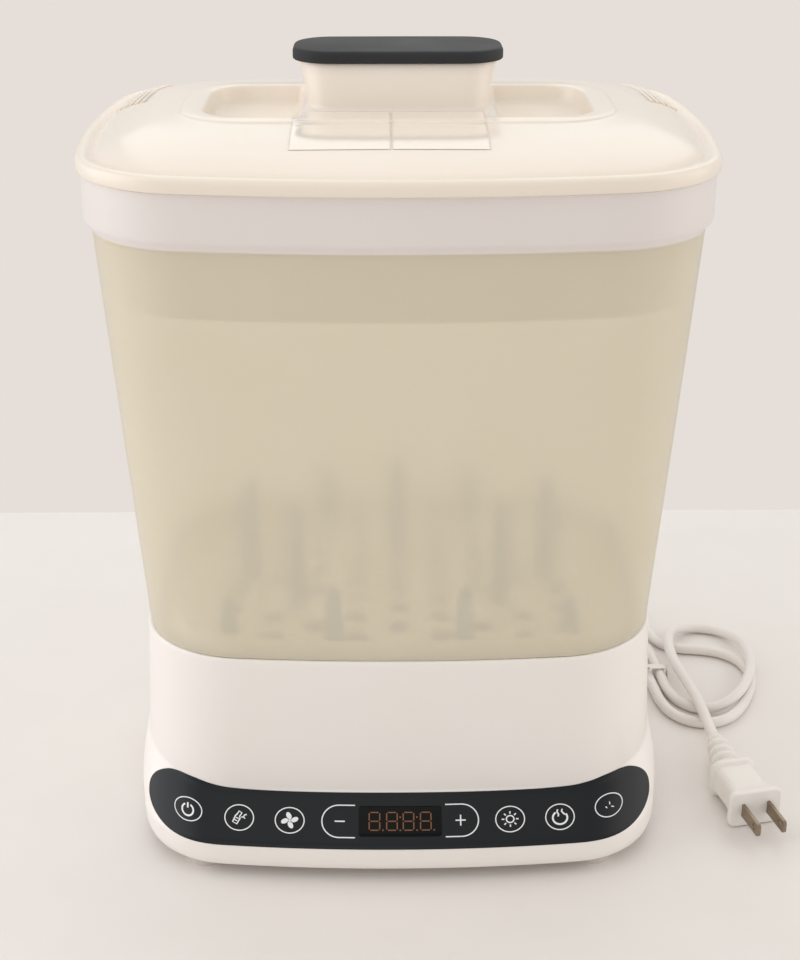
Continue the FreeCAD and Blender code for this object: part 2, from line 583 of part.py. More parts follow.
def thermal_fuse():
    """One-shot cut-out clipped beside the thermostat."""
    x, y = DISH_X + FUSE_OFF_X, DISH_Y + FUSE_OFF_Y
    body = rod(FUSE_R, FUSE_LONG, (x, y, DISH_LOW - FUSE_R - 0.5), ALONG_X)
    middle = x + FUSE_LONG / 2
    clip = box((middle - 4, y - 4, DISH_LOW - 1), (middle + 4, y + 4, DISH_LOW))
    return join(body, clip)


# ---------------------------------------------------------------- drying fan and air path
FAN_LOW = COVER_TOP + FAN_CLEAR
FAN_HIGH = FAN_LOW + FAN_TALL
WHEEL_FOOT = FAN_LOW + FAN_WALL + WHEEL_CLEAR
MOTOR_TOP = WHEEL_FOOT - WHEEL_CLEAR / 2


def air_box(inset, front, back, ends=0.0):
    """The level run of the air path, or its bore, between two places along Y."""
    low = (DUCT_X + inset, front - ends, FAN_LOW + inset)
    return box(low, (DUCT_X + DUCT_WIDE - inset, back, FAN_HIGH - inset))


def fan_housing():
    """Scroll case: round case, eye on top, and a square outlet towards the heater."""
    case = rod(FAN_R, FAN_TALL, (FAN_X, FAN_Y, FAN_LOW))
    hollow = rod(FAN_R - FAN_WALL, FAN_TALL - 2 * FAN_WALL, (FAN_X, FAN_Y, FAN_LOW + FAN_WALL))
    eye = rod(FAN_EYE_R, 10, (FAN_X, FAN_Y, FAN_HIGH - FAN_WALL - 1))
    seat = rod(MOTOR_R + SNUG, 10, (FAN_X, FAN_Y, FAN_LOW - 1))
    outlet, channel = air_box(0, FAN_MOUTH, FAN_Y), air_box(FAN_WALL, FAN_MOUTH, FAN_Y, 1)
    return join(case, outlet).cut(join(hollow, channel)).cut(eye).cut(seat)


def fan_motor():
    """Small motor in the case's floor, with its shaft up the middle."""
    body = rod(MOTOR_R, MOTOR_TALL, (FAN_X, FAN_Y, MOTOR_TOP - MOTOR_TALL))
    stub = rod(2 * SHAFT_R, WHEEL_CLEAR / 4, (FAN_X, FAN_Y, MOTOR_TOP))
    shaft = rod(SHAFT_R, WHEEL_TALL, (FAN_X, FAN_Y, MOTOR_TOP))
    flange = pipe(MOTOR_R + MOTOR_FLANGE, MOTOR_R - 1, 1.5, (FAN_X, FAN_Y, FAN_LOW - 1.5))
    return join(body, stub, shaft, flange)


def fan_impeller():
    """Drum wheel: back plate, hub, forward blades and a front hoop."""
    plate = rod(WHEEL_R, 1.5, (FAN_X, FAN_Y, WHEEL_FOOT))
    hub = rod(HUB_R, WHEEL_TALL - 6, (FAN_X, FAN_Y, WHEEL_FOOT))
    hoop = pipe(WHEEL_R, WHEEL_R - 2, 2, (FAN_X, FAN_Y, WHEEL_FOOT + WHEEL_TALL - 2))
    tip = FAN_X + WHEEL_R
    blades = []
    for index in range(BLADES):
        blade = box((tip - 6, FAN_Y - 0.5, WHEEL_FOOT), (tip - 0.4, FAN_Y + 0.5, WHEEL_FOOT + WHEEL_TALL))
        blade.rotate(V(tip - 3, FAN_Y, 0), UP, BLADE_LEAN)
        blade.rotate(V(FAN_X, FAN_Y, 0), UP, index * 360 / BLADES)
        blades.append(blade)
    wheel = join(plate, hub, hoop, *blades)
    return wheel.cut(rod(SHAFT_R + SHAFT_GAP, WHEEL_TALL, (FAN_X, FAN_Y, WHEEL_FOOT - 1)))


def air_heater():
    """Finned heater block in the outlet."""
    block = air_box(FAN_WALL + SNUG, HEATER_BACK - HEATER_DEEP, HEATER_BACK)
    room = block.BoundBox
    pitch = (room.ZLength - 2) / FINS
    for row in range(FINS):
        z = room.ZMin + 2 + row * pitch
        block = block.cut(box((room.XMin + 2, room.YMin, z), (room.XMax - 2, room.YMax, z + pitch - 2)))
    return block


def air_duct():
    """Elbow that turns the warm air up to the deck."""
    front = DUCT_BACK - DUCT_DEEP
    run, riser = air_box(0, front, FAN_MOUTH - SNUG), duct_box(0, FAN_LOW, DECK_LOW)
    bore = air_box(FAN_WALL, front + FAN_WALL, FAN_MOUTH + 1)
    return join(run, riser).cut(join(bore, duct_box(FAN_WALL, FAN_LOW + FAN_WALL, DECK_TOP)))


def outlet_grille():
    """Slotted grille in the deck over the warm air duct."""
    grille = duct_box(SNUG, DECK_LOW, DECK_TOP + 1)
    room = grille.BoundBox
    pitch = (room.YLength - 3) / LOUVRES
    for row in range(LOUVRES):
        y = room.YMin + 3 + row * pitch
        low, high = (room.XMin + 3, y, DECK_LOW - 1), (room.XMax - 3, y + pitch - 2, DECK_TOP + 2)
        grille = grille.cut(box(low, high))
    return grille


def filter_door():
    """Louvred door over the air inlet, flush with the rear wall, with a frame for the filter."""
    wall = upright_wall().cut(upright_wall(WALL))
    door = wall.common(rear_prism(0))
    pitch = (FILTER_TALL - 6) / LOUVRES
    half = FILTER_WIDE / 2
    for row in range(LOUVRES):
        z = FILTER_LOW + 4.5 + row * pitch
        low = (FILTER_X - half + 6, RIM.back - 20, z)
        door = door.cut(box(low, (FILTER_X + half - 6, RIM.back + 10, z + pitch / 2)))
    rear = rear_y(RIM, FILTER_X - half) - WALL + 2
    low = (FILTER_X - half + 1, FILTER_FRONT, FILTER_LOW + 1)
    high = (FILTER_X + half - 1, rear, FILTER_HIGH - 1)
    hole = box((low[0] + FRAME_WALL, low[1] - 1, low[2] + FRAME_WALL),
               (high[0] - FRAME_WALL, high[1] + 5, high[2] - FRAME_WALL))
    return join(door, box(low, high).cut(hole).cut(wall))


def air_filter():
    """Foam filter held in the door's frame."""
    edge = 1 + FRAME_WALL + 0.2
    half, front = FILTER_WIDE / 2 - edge, FILTER_FRONT + 0.5
    low = (FILTER_X - half, front, FILTER_LOW + edge)
    return box(low, (FILTER_X + half, front + FOAM_THICK, FILTER_HIGH - edge))


def uv_window():
    """Quartz window in the deck over the ultraviolet lamp."""
    return rod(UV_R, DECK_THICK, (UV_X, UV_Y, DECK_LOW))


def uv_lamp_board():
    """Small board with the ultraviolet LEDs under the window."""
    low = DECK_LOW - UV_BOARD_DROP
    board = box((UV_X - 8, UV_Y - 12, low - BOARD_THICK), (UV_X + 8, UV_Y + 12, low))
    lamps = [box((UV_X - 2, UV_Y + 4 * side - 2, low), (UV_X + 2, UV_Y + 4 * side + 2, low + 1.5))
             for side in SIDES]
    legs = [rod(1.5, UV_BOARD_DROP, (UV_X, UV_Y + 10 * side, low)) for side in SIDES]
    return join(board, *lamps, *legs)


# ---------------------------------------------------------------- power board
POWER_FOOT = COVER_TOP + STAND_TALL
POWER_TOP = POWER_FOOT + BOARD_THICK


def on_board(x, y, wide, deep, tall, lift=0.0):
    """A block that stands on the power board."""
    low = (POWER_X + x, POWER_Y + y, POWER_TOP + lift)
    return box(low, (low[0] + wide, low[1] + deep, low[2] + tall))


def power_board():
    """Main board on four short stands."""
    board = box((POWER_X, POWER_Y, POWER_FOOT), (POWER_X + POWER_WIDE, POWER_Y + POWER_DEEP, POWER_TOP))
    stands = [rod(STAND_R, STAND_TALL, (POWER_X + x, POWER_Y + y, COVER_TOP))
              for x in (STAND_INSET, POWER_WIDE - STAND_INSET)
              for y in (STAND_INSET, POWER_DEEP - STAND_INSET)]
    return join(board, *stands)


def transformer():
    """Supply transformer on the main board."""
    return join(on_board(*CORE_PLACE, *CORE_SIZE), on_board(*COIL_PLACE, *COIL_SIZE, lift=COIL_LIFT))


def relays():
    """Two relays that switch the heaters."""
    return Part.makeCompound([on_board(RELAY_X, y, *RELAY_SIZE) for y in RELAY_YS])


def capacitors():
    """Three capacitors on the main board."""
    return Part.makeCompound([rod(radius, tall, (POWER_X + x, POWER_Y + y, POWER_TOP))
                              for (x, y), (radius, tall) in zip(CAPACITOR_PLACES, CAPACITOR_SIZES)])


# ---------------------------------------------------------------- tub, rack and tray
TUB_FOOT = shrink(RIM, WALL + LOOSE)
TUB_NECK = shrink(COLLAR, COLLAR_STEP)
RACK = shrink(TUB_FOOT, TUB_WALL + TUB_GAP)
RACK_LOW = DECK_TOP + RACK_UP
RACK_TOP = RACK_LOW + RACK_THICK


def tub_plan(z):
    """The tub's outer wall: upright inside the base's rim, then leaning out to the neck."""
    return between(TUB_FOOT, TUB_NECK, max(z - RIM_TOP, 0) / (NECK - RIM_TOP))


def chamber_shell():
    """Open tub without a floor: a collar round its mouth, and ledges for the tray and the rack."""
    wall = [(z, tub_plan(z)) for z in (DECK_TOP, RIM_TOP, NECK)]
    outer = loft(wall + [(SHOULDER, shrink(COLLAR, 0.5)), (SHOULDER + 1, COLLAR), (COLLAR_TOP, COLLAR)])
    inner = loft([(z, shrink(plan, TUB_WALL)) for z, plan in wall])
    throat = slab(shrink(TUB_NECK, TUB_WALL), NECK, LEDGE)
    mouth = slab(shrink(COLLAR, TUB_WALL), LEDGE, COLLAR_TOP)
    tub = outer.cut(join(inner, throat, mouth))
    low = RACK_LOW - FOOT_LEDGE_TALL
    ledge = slab(shrink(TUB_FOOT, TUB_WALL / 2), low, RACK_LOW)
    return join(tub, ledge.cut(slab(shrink(TUB_FOOT, TUB_WALL + FOOT_LEDGE_WIDE), low, RACK_LOW)))


def rack_holes():
    """Drain holes on a staggered grid, kept off the pegs and the edge."""
    room = shrink(RACK, 14)

    def clear(x, y):
        off_pegs = all(math.hypot(x - px, y - py) > PEG_FOOT_R + RACK_HOLE_R + 2 for px, py, _ in PEG_PLACES)
        past = math.hypot(max(abs(x) - (room.half_width - room.corner), 0),
                          max(abs(y) - (room.back - room.corner), 0))
        return off_pegs and past < room.corner and abs(x) < room.half_width and abs(y) < room.back

    grid = [(column * RACK_PITCH, (row + 0.5 * (column % 2)) * RACK_PITCH)
            for column in range(-4, 5) for row in range(-4, 4)]
    return [(x, y) for x, y in grid if clear(x, y)]


def bottle_rack():
    """Rack plate with a low rim and drain holes, which lies on the ledge in the tub's foot."""
    rim_top = RACK_TOP + RACK_RIM_TALL
    rim = slab(RACK, RACK_LOW, rim_top).cut(slab(shrink(RACK, RACK_RIM_WALL), RACK_LOW, rim_top))
    rack = join(slab(RACK, RACK_LOW, RACK_TOP), rim)
    return rack.cut([rod(RACK_HOLE_R, RACK_THICK, (x, y, RACK_LOW)) for x, y in rack_holes()])


def rack_pegs():
    """Tapered pegs that bottles stand on, pressed onto the rack plate."""
    pegs = []
    for x, y, tall in PEG_PLACES:
        cone = Part.makeCone(PEG_FOOT_R, PEG_TOP_R, tall - PEG_TOP_R, V(x, y, RACK_TOP), UP)
        pegs.append(join(cone, Part.makeSphere(PEG_TOP_R, V(x, y, RACK_TOP + tall - PEG_TOP_R))))
    return Part.makeCompound(pegs)


def upper_tray():
    """Hanging tray for teats and small parts: slotted floor, walls and a flange on the ledge."""
    gap = TUB_WALL + TRAY_GAP
    foot, neck = shrink(tub_plan(TRAY_FLOOR), gap), shrink(TUB_NECK, gap)
    flange = slab(shrink(COLLAR, TUB_WALL + LOOSE), LEDGE, LEDGE + FLANGE_THICK)
    outer = join(loft([(TRAY_FLOOR, foot), (LEDGE, neck)]), flange)
    tray = outer.cut(loft([(TRAY_FLOOR + TRAY_WALL, shrink(foot, TRAY_WALL)),
                           (LEDGE + FLANGE_THICK, shrink(neck, TRAY_WALL))]))
    slots = []
    for column in range(TRAY_SLOTS):
        x = (column - (TRAY_SLOTS - 1) / 2) * TRAY_SLOT_PITCH
        reach = TRAY_SLOT_LONG * (1 - (x / foot.half_width / 1.1) ** 4)
        near, far = x - TRAY_SLOT_WIDE / 2, x + TRAY_SLOT_WIDE / 2
        for low, high in ((-reach, -TRAY_SPINE), (TRAY_SPINE, reach)):
            slots.append(box((near, low, TRAY_FLOOR), (far, high, TRAY_FLOOR + TRAY_WALL)))
    return tray.cut(slots)


# ---------------------------------------------------------------- lid
RING_OUT = shrink(PIT, -RING_WIDE)
DOME = shrink(LID, DOME_INSET)
DOME_CURVE = [(0.0, 0.0), (0.10, 0.26), (0.32, 0.58), (0.65, 0.87), (1.0, 1.0)]   # share in, share up
BRIDGE_HALF = GRIP_FOOT.half_width + GRIP_FILLET + 0.3


def dome(inset=0.0):
    """The lid's crown up to the ring, or the same crown a wall's thickness inside."""
    stations = [(DOME_FOOT + DOME_RISE * up - inset, shrink(between(DOME, RING_OUT, share), inset))
                for share, up in DOME_CURVE]
    return loft(stations, smooth=True)


def pits(grow=0.0):
    """The recess on each side of the grip's bridge, or its pan a wall's thickness larger."""
    floor = RING_TOP - PIT_DEEP - grow
    recess = loft([(floor, shrink(PIT, PIT_TAPER - grow)), (floor + 2, shrink(PIT, PIT_TAPER / 2 - grow)),
                   (RING_TOP + 1 - grow, shrink(PIT, -grow))])
    half = BRIDGE_HALF - grow
    return recess.cut(box((-half, -PIT.front - 20, floor - 1), (half, PIT.back + 20, RING_TOP + 2)))


def steam_slots():
    """Five slots along the rear of each shoulder, following the edge."""
    cuts = []
    for index in range(STEAM_SLOTS):
        inset = STEAM_INSET + index * STEAM_SLOT_PITCH
        band = slab(shrink(LID, inset), COLLAR_TOP, RING_TOP)
        band = band.cut(slab(shrink(LID, inset + STEAM_SLOT_WIDE), COLLAR_TOP, RING_TOP))
        for side in SIDES:
            near, far = sorted((side * LID.half_width / 2, side * LID.half_width))
            cuts.append(band.common(box((near, STEAM_FROM, COLLAR_TOP), (far, STEAM_TO, RING_TOP))))
    return cuts


def lid_shell():
    """Lid: beaded edge, domed crown, flat ring, two finger pits, steam slots and a locating rim."""
    bead = loft([(COLLAR_TOP, shrink(LID, 0.6)), (COLLAR_TOP + 1, LID), (BEAD_TOP - 2, LID),
                 (BEAD_TOP - 0.6, shrink(LID, 0.8)), (BEAD_TOP, shrink(LID, 2.4))])
    bead = bead.cut(slab(shrink(LID, DOME_INSET - 1), DOME_FOOT, BEAD_TOP))
    ring = loft([(DOME_TOP - 0.1, RING_OUT), (RING_TOP, shrink(RING_OUT, 1.5))])
    outer = join(bead, dome(), ring)
    floor = slab(shrink(LID, 5), COLLAR_TOP, DOME_FOOT - LID_WALL + 0.01)
    under_ring = loft([(DOME_TOP - LID_WALL - 0.1, shrink(RING_OUT, LID_WALL)),
                       (RING_TOP - LID_WALL, shrink(RING_OUT, LID_WALL + 1.5))])
    shell = outer.cut(join(floor, dome(LID_WALL), under_ring))
    shell = join(shell, pits(LID_WALL).common(outer)).cut(pits())
    inset = TUB_WALL + LOCATING_GAP
    low, high = COLLAR_TOP - LOCATING_DEEP, DOME_FOOT - LID_WALL + 1
    locating = slab(shrink(COLLAR, inset), low, high)
    locating = locating.cut(slab(shrink(COLLAR, inset + LOCATING_THICK), low, high))
    shell = join(shell, locating).cut(steam_slots())
    holes = [rod(SCREW_R + SNUG, SCREW_LONG, (side * GRIP_SCREW_X, 0, RING_TOP - PIT_DEEP)) for side in SIDES]
    return shell.cut(holes)


def lid_seal():
    """Silicone ring round the locating rim."""
    low = COLLAR_TOP - LOCATING_DEEP + 1.5
    ring = slab(shrink(COLLAR, TUB_WALL + LID_SEAL_GAP), low, low + LID_SEAL_TALL)
    return ring.cut(slab(shrink(COLLAR, TUB_WALL + LOCATING_GAP), low, low + LID_SEAL_TALL))


def handle_body():
    """Flared grip that stands on the lid's bridge, with a fillet round its foot."""
    fillet = []
    for turn in (math.radians(part) for part in (0, 30, 60, 90)):
        inset = GRIP_FILLET * (math.sin(turn) - 1)
        fillet.append((RING_TOP + GRIP_FILLET * (1 - math.cos(turn)), shrink(GRIP_FOOT, inset)))
    rise = GRIP_TALL - GRIP_FILLET
    flare = [(RING_TOP + GRIP_FILLET + rise * up, between(GRIP_FOOT, GRIP_TOP, out))
             for up, out in ((0.35, 0.16), (0.7, 0.5), (1.0, 1.0))]
    holes = [rod(SCREW_R, SCREW_LONG, (side * GRIP_SCREW_X, 0, RING_TOP)) for side in SIDES]
    return loft(fillet + flare).cut(holes)


def handle_cap():
    """Dark soft-touch cap on the grip."""
    edge = [(CAP_TOP - CAP_ROUND, CAP), (CAP_TOP - 0.3 * CAP_ROUND, shrink(CAP, 0.35 * CAP_ROUND)),
            (CAP_TOP, shrink(CAP, CAP_ROUND))]
    return loft([(CAP_FOOT, shrink(CAP, 0.6)), (CAP_FOOT + 0.6, CAP)] + edge)


def handle_screws():
    """Two screws up through the lid's bridge into the grip."""
    screws = []
    low = RING_TOP - LID_WALL - SCREW_HEAD_TALL
    for x in (-GRIP_SCREW_X, GRIP_SCREW_X):
        shank = rod(SCREW_R, SCREW_LONG, (x, 0, low + SCREW_HEAD_TALL))
        screws.append(join(rod(SCREW_HEAD_R, SCREW_HEAD_TALL, (x, 0, low)), shank))
    return Part.makeCompound(screws)


# ---------------------------------------------------------------- cord and plug
def ahead(yaw, reach):
    """A step over the surface, a yaw round from straight forward."""
    turn = math.radians(yaw)
    return V(reach * math.sin(turn), -reach * math.cos(turn), 0)


PLUG_FACE_AT = V(LIP.half_width + PLUG_OUT, LIP.back - PLUG_AHEAD, PLUG_Z)
RELIEF_AT = PLUG_FACE_AT - ahead(PLUG_YAW, PLUG_LONG + PLUG_COLLAR_LONG)
CORD_END = RELIEF_AT - ahead(RELIEF_YAW, PLUG_RELIEF)


def cord_route():
    """Out of the base's rear, forward beside it, two loose loops with a bight behind, to the plug.

    The lead's points are measured from where it leaves the rear wall. The others are measured
    outwards from the base's side, backwards from its back, and up from the surface.
    """
    lead = [(0.3, 34.1, -1.0), (4.0, 45.6, -5.0), (12.5, 53.6, -10.8), (24.0, 53.3, -16.6),
            (33.0, 45.6, -20.2)]
    beside = [(-27.1, 32.6, 2.9), (-21.2, 21.6, 2.9), (-12.6, 12.2, 2.9), (-2.2, 3.6, 2.9),
              (6.4, -6.6, 3.2), (12.3, -18.5, 3.9), (15.8, -31.2, 3.9), (17.6, -44.4, 3.0)]
    low_loop = [(18.8, -57.2, 2.9), (22.8, -69.0, 2.9), (31.2, -77.4, 2.9), (42.4, -79.0, 2.9),
                (52.6, -73.8, 2.9), (59.8, -64.0, 2.9), (65.8, -51.8, 2.9), (70.6, -38.8, 2.9),
                (72.4, -25.0, 2.9), (68.8, -12.0, 2.9), (59.8, -3.0, 2.9), (48.0, 0.2, 2.9),
                (36.2, 1.4, 2.9), (27.4, 8.2, 2.9)]
    bight = [(23.9, 19.4, 2.9), (23.0, 31.6, 2.9), (20.0, 43.8, 2.9), (13.4, 55.0, 2.9), (3.2, 62.2, 2.9),
             (-9.0, 62.4, 2.9), (-18.6, 55.2, 2.9), (-22.2, 43.6, 2.9), (-18.6, 32.0, 2.9),
             (-8.8, 24.8, 2.9), (3.0, 22.6, 2.9), (13.0, 16.4, 2.9), (19.2, 6.0, 2.9), (21.6, -6.2, 3.2)]
    high_loop = [(22.3, -19.4, 3.9), (22.7, -32.4, 3.9), (24.2, -45.2, 3.1), (28.6, -57.0, 2.9),
                 (37.4, -64.6, 2.9), (48.6, -65.0, 4.6), (58.4, -59.0, 8.0), (64.8, -48.6, 8.8),
                 (69.8, -36.4, 8.8), (72.9, -23.2, 8.8), (73.8, -9.4, 8.4), (73.0, 4.4, 6.2),
                 (68.8, 17.0, 3.8), (58.8, 25.2, 2.9), (46.2, 25.6, 3.4), (36.0, 17.8, 6.2),
                 (32.0, 5.8, 8.8), (30.4, -7.4, 9.2)]
    to_plug = [(30.5, -20.8, 9.1), (32.2, -34.2, 9.0), (34.4, -47.4, 9.0), (36.2, -60.6, 9.0),
               (37.3, -73.8, 9.1), (37.7, -87.4, 9.4)]
    gland = [V(GLAND_X, GLAND_Y, GLAND_Z) + V(*p) for p in [(0, RELIEF_LONG, 0)] + lead]
    side = V(LIP.half_width, LIP.back, 0)
    return gland + [side + V(*p) for p in beside + low_loop + bight + high_loop + to_plug] + [CORD_END]


def power_cord():
    """Mains lead from the strain relief to the plug: straight runs joined by tangent arcs."""
    points = cord_route()
    edges, start, radii = [], points[0], []
    for before, here, after in zip(points, points[1:], points[2:]):
        to_here, onward = here - before, after - here
        half_turn = to_here.getAngle(onward) / 2
        reach = 0.45 * min(to_here.Length, onward.Length)
        radius = reach / math.tan(half_turn)
        first = here - V(to_here).normalize() * reach
        last = here + V(onward).normalize() * reach
        inward = (V(onward).normalize() - V(to_here).normalize()).normalize()
        middle = here + inward * (radius / math.cos(half_turn) - radius)
        edges += [Part.LineSegment(start, first).toShape(), Part.Arc(first, middle, last).toShape()]
        start = last
        radii.append(radius)
    edges.append(Part.LineSegment(start, points[-1]).toShape())
    path = Part.Wire(edges)
    section = Part.Wire(Part.makeCircle(CORD_D / 2, points[0], points[1] - points[0]))
    cord = path.makePipeShell([section], True, True)
    share = cord.Volume / (math.pi * CORD_D ** 2 / 4 * path.Length)
    print(f"cord: {path.Length:.0f} mm, volume share {share:.4f}, radii", [round(r) for r in radii])
    return cord


def cord_tie():
    """Soft band round the two strands beside the base."""
    wide, deep, thick = TIE_WIDE / 2, TIE_LONG / 2, TIE_THICK
    x, y = LIP.half_width + TIE_OUT, LIP.back - TIE_AHEAD
    low, high = TIE_CORD_Z - CORD_D / 2 - SNUG, TIE_CORD_Z + CORD_D / 2 + SNUG
    outer = box((x - wide, y - deep, low - thick), (x + wide, y + deep, high + thick))
    inner = box((x - wide + thick, y - 2 * deep, low), (x + wide - thick, y + 2 * deep, high))
    return outer.cut(inner)


def cord_gland():
    """Strain relief: a collar in the rear wall and a tapered tail over the lead."""
    lip_long = 1.5
    collar = rod(GLAND_R, 5, (GLAND_X, GLAND_Y - 3.5, GLAND_Z), ALONG_Y)
    lip = rod(GLAND_R + 1.5, lip_long, (GLAND_X, GLAND_Y + 0.6, GLAND_Z), ALONG_Y)
    tail = Part.makeCone(GLAND_R - 1, CORD_D / 2 + RELIEF_WALL, RELIEF_LONG - lip_long,
                         V(GLAND_X, GLAND_Y + lip_long, GLAND_Z), ALONG_Y)
    return join(collar, lip, tail)


def plug_section(y, half_width, half_height, radius):
    """A rounded rectangle across the plug."""
    block = box((-half_width, y, -half_height), (half_width, y + 1, half_height))
    rounded = block.makeFillet(radius, edges_along(block, 1))
    return min(rounded.Faces, key=lambda face: face.CenterOfMass.y).OuterWire


def plug_loft(*stations):
    """A solid through sections of the plug."""
    return Part.makeLoft([plug_section(*station) for station in stations], True, True)


def laid(shape, yaw, at):
    """Turns a piece drawn along Y about its origin and moves it to where it lies."""
    placed = shape.copy()
    placed.rotate(V(0, 0, 0), UP, yaw)
    placed.translate(at)
    return placed


def plug_body():
    """Moulded two-blade plug: broad face, drawn-in waist and a collar behind it."""
    body = plug_loft((0, *PLUG_FACE), (PLUG_FACE_LONG, *PLUG_FACE), (PLUG_NECK_AT, *PLUG_WAIST),
                     (PLUG_LONG, *PLUG_WAIST))
    collar = plug_loft((PLUG_LONG, *PLUG_COLLAR), (PLUG_LONG + PLUG_COLLAR_LONG, *PLUG_COLLAR))
    return laid(join(body, collar), PLUG_YAW, PLUG_FACE_AT)


def plug_relief():
    """Ribbed tail between the plug and the lead."""
    tail = Part.makeCone(PLUG_RELIEF_R, CORD_D / 2 + RELIEF_WALL, PLUG_RELIEF, V(0, 0, 0), ALONG_Y)
    ribs = [rod(RIB_R - RIB_TAPER * rib, RIB_LONG, (0, RIB_START + RIB_PITCH * rib, 0), ALONG_Y)
            for rib in range(RIBS)]
    root = rod(PLUG_RELIEF_R, 2, (0, -1, 0), ALONG_Y)
    plug_side = laid(box((-30, -40, -30), (30, 0, 30)), PLUG_YAW, RELIEF_AT)
    return laid(join(tail, root, *ribs), RELIEF_YAW, RELIEF_AT).cut(plug_side)


def plug_blades():
    """Two flat blades, each with a round hole near its tip."""
    blades = []
    for side in SIDES:
        x, tall = side * BLADE_PITCH / 2, BLADE_TALL / 2
        blade = box((x - BLADE_THICK / 2, -BLADE_LONG, -tall), (x + BLADE_THICK / 2, 0, tall))
        tips = [edge for edge in edges_along(blade, 0) if edge.CenterOfMass.y < -BLADE_LONG / 2]
        blade = blade.makeFillet(BLADE_TALL / 4, tips)
        hole = rod(BLADE_HOLE_R, 2 * BLADE_THICK, (x - BLADE_THICK, BLADE_HOLE_IN - BLADE_LONG, 0), ALONG_X)
        blades.append(laid(blade.cut(hole), PLUG_YAW, PLUG_FACE_AT))
    return Part.makeCompound(blades)


# ---------------------------------------------------------------- the pieces
PIECES = [base_housing, inner_deck, deck_posts, bottom_cover, rubber_feet, housing_screws, control_panel,
          display_lens, display_module, touch_board, heating_dish, dish_seal, heater_element, thermostat,
          thermal_fuse, fan_housing, fan_motor, fan_impeller, air_heater, air_duct, outlet_grille,
          filter_door, air_filter, uv_window, uv_lamp_board, power_board, transformer, relays, capacitors,
          chamber_shell, bottle_rack, rack_pegs, upper_tray, lid_shell, lid_seal, handle_body, handle_cap,
          handle_screws, cord_gland, power_cord, cord_tie, plug_body, plug_relief, plug_blades]


def main():
    """Builds and writes every piece."""
    os.makedirs("parts", exist_ok=True)
    for piece in PIECES:
        write(piece.__name__, piece())


main()
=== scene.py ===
"""Bottle steam steriliser and dryer: smooth shells, touch panel, frosted tub, lid, lead and plug.

Sizes are in millimetres; a finished mesh is in metres, in the frame's own axes.
"""

import logging
import math
from dataclasses import dataclass, field, replace
from enum import Enum
from typing import Callable, Sequence

import bmesh
import bpy
import numpy as np
from mathutils import Matrix, Vector
from mathutils.geometry import tessellate_polygon


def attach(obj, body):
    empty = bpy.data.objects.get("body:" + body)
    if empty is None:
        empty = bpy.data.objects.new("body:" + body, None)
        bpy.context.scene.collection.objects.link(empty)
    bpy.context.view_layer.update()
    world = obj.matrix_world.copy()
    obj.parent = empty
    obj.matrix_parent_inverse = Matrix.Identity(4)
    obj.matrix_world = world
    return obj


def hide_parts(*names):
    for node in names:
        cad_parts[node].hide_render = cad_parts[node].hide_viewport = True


LOG = logging.getLogger("steriliser")
MM = 0.001
Point = tuple[float, float, float]
Flat = tuple[float, float]
Face = tuple[int, ...]
Profile = tuple[Flat, ...]
Bounds = list[list[float]]


# ------------------------------------------------------------------ finishes
# How deep the relief of a full-strength finish goes, in millimetres.
RELIEF_DEPTH = 0.2
# How far red, green and blue light sink into waxy plastic, in millimetres.
MILK_DEPTH = (6.0, 5.0, 4.0)
# Brushing lines run along x, so their pattern is squeezed that way.
BRUSH_STRETCH = (0.06, 1.0, 1.0)


class Skin(Enum):
    """The fine relief of a finish."""

    GRAIN = "fine moulding grain"
    BRUSHED = "drawn or brushed metal"
    FOAM = "open-cell foam"
    BOARD = "printed circuit board"
    PLAIN = "polished"


def linear(code: str) -> tuple[float, float, float, float]:
    """Turns a six-figure sRGB hex code into a linear colour.

    Args:
        code: The hex code, without its hash.

    Returns:
        Red, green, blue and an alpha of one.
    """
    parts = [int(code[i:i + 2], 16) / 255 for i in (0, 2, 4)]
    bent = [p / 12.92 if p <= 0.04045 else ((p + 0.055) / 1.055) ** 2.4 for p in parts]
    return bent[0], bent[1], bent[2], 1.0


def add_node(tree: bpy.types.NodeTree, kind: str, feeds: dict[str | int, object] | None = None,
             **settings: object) -> bpy.types.Node:
    """Adds a node to a material's, a world's or a geometry's tree.

    Args:
        tree: The tree.
        kind: The node's type.
        feeds: Its inputs by name or number, each a value, a socket to link from or a list of these.
        settings: Its own settings by name.

    Returns:
        The node.
    """
    node = tree.nodes.new(kind)
    for name, value in settings.items():
        setattr(node, name, value)
    for key, value in (feeds or {}).items():
        for source in value if isinstance(value, list) else [value]:
            if isinstance(source, bpy.types.NodeSocket):
                tree.links.new(source, node.inputs[key])
            else:
                node.inputs[key].default_value = source
    return node


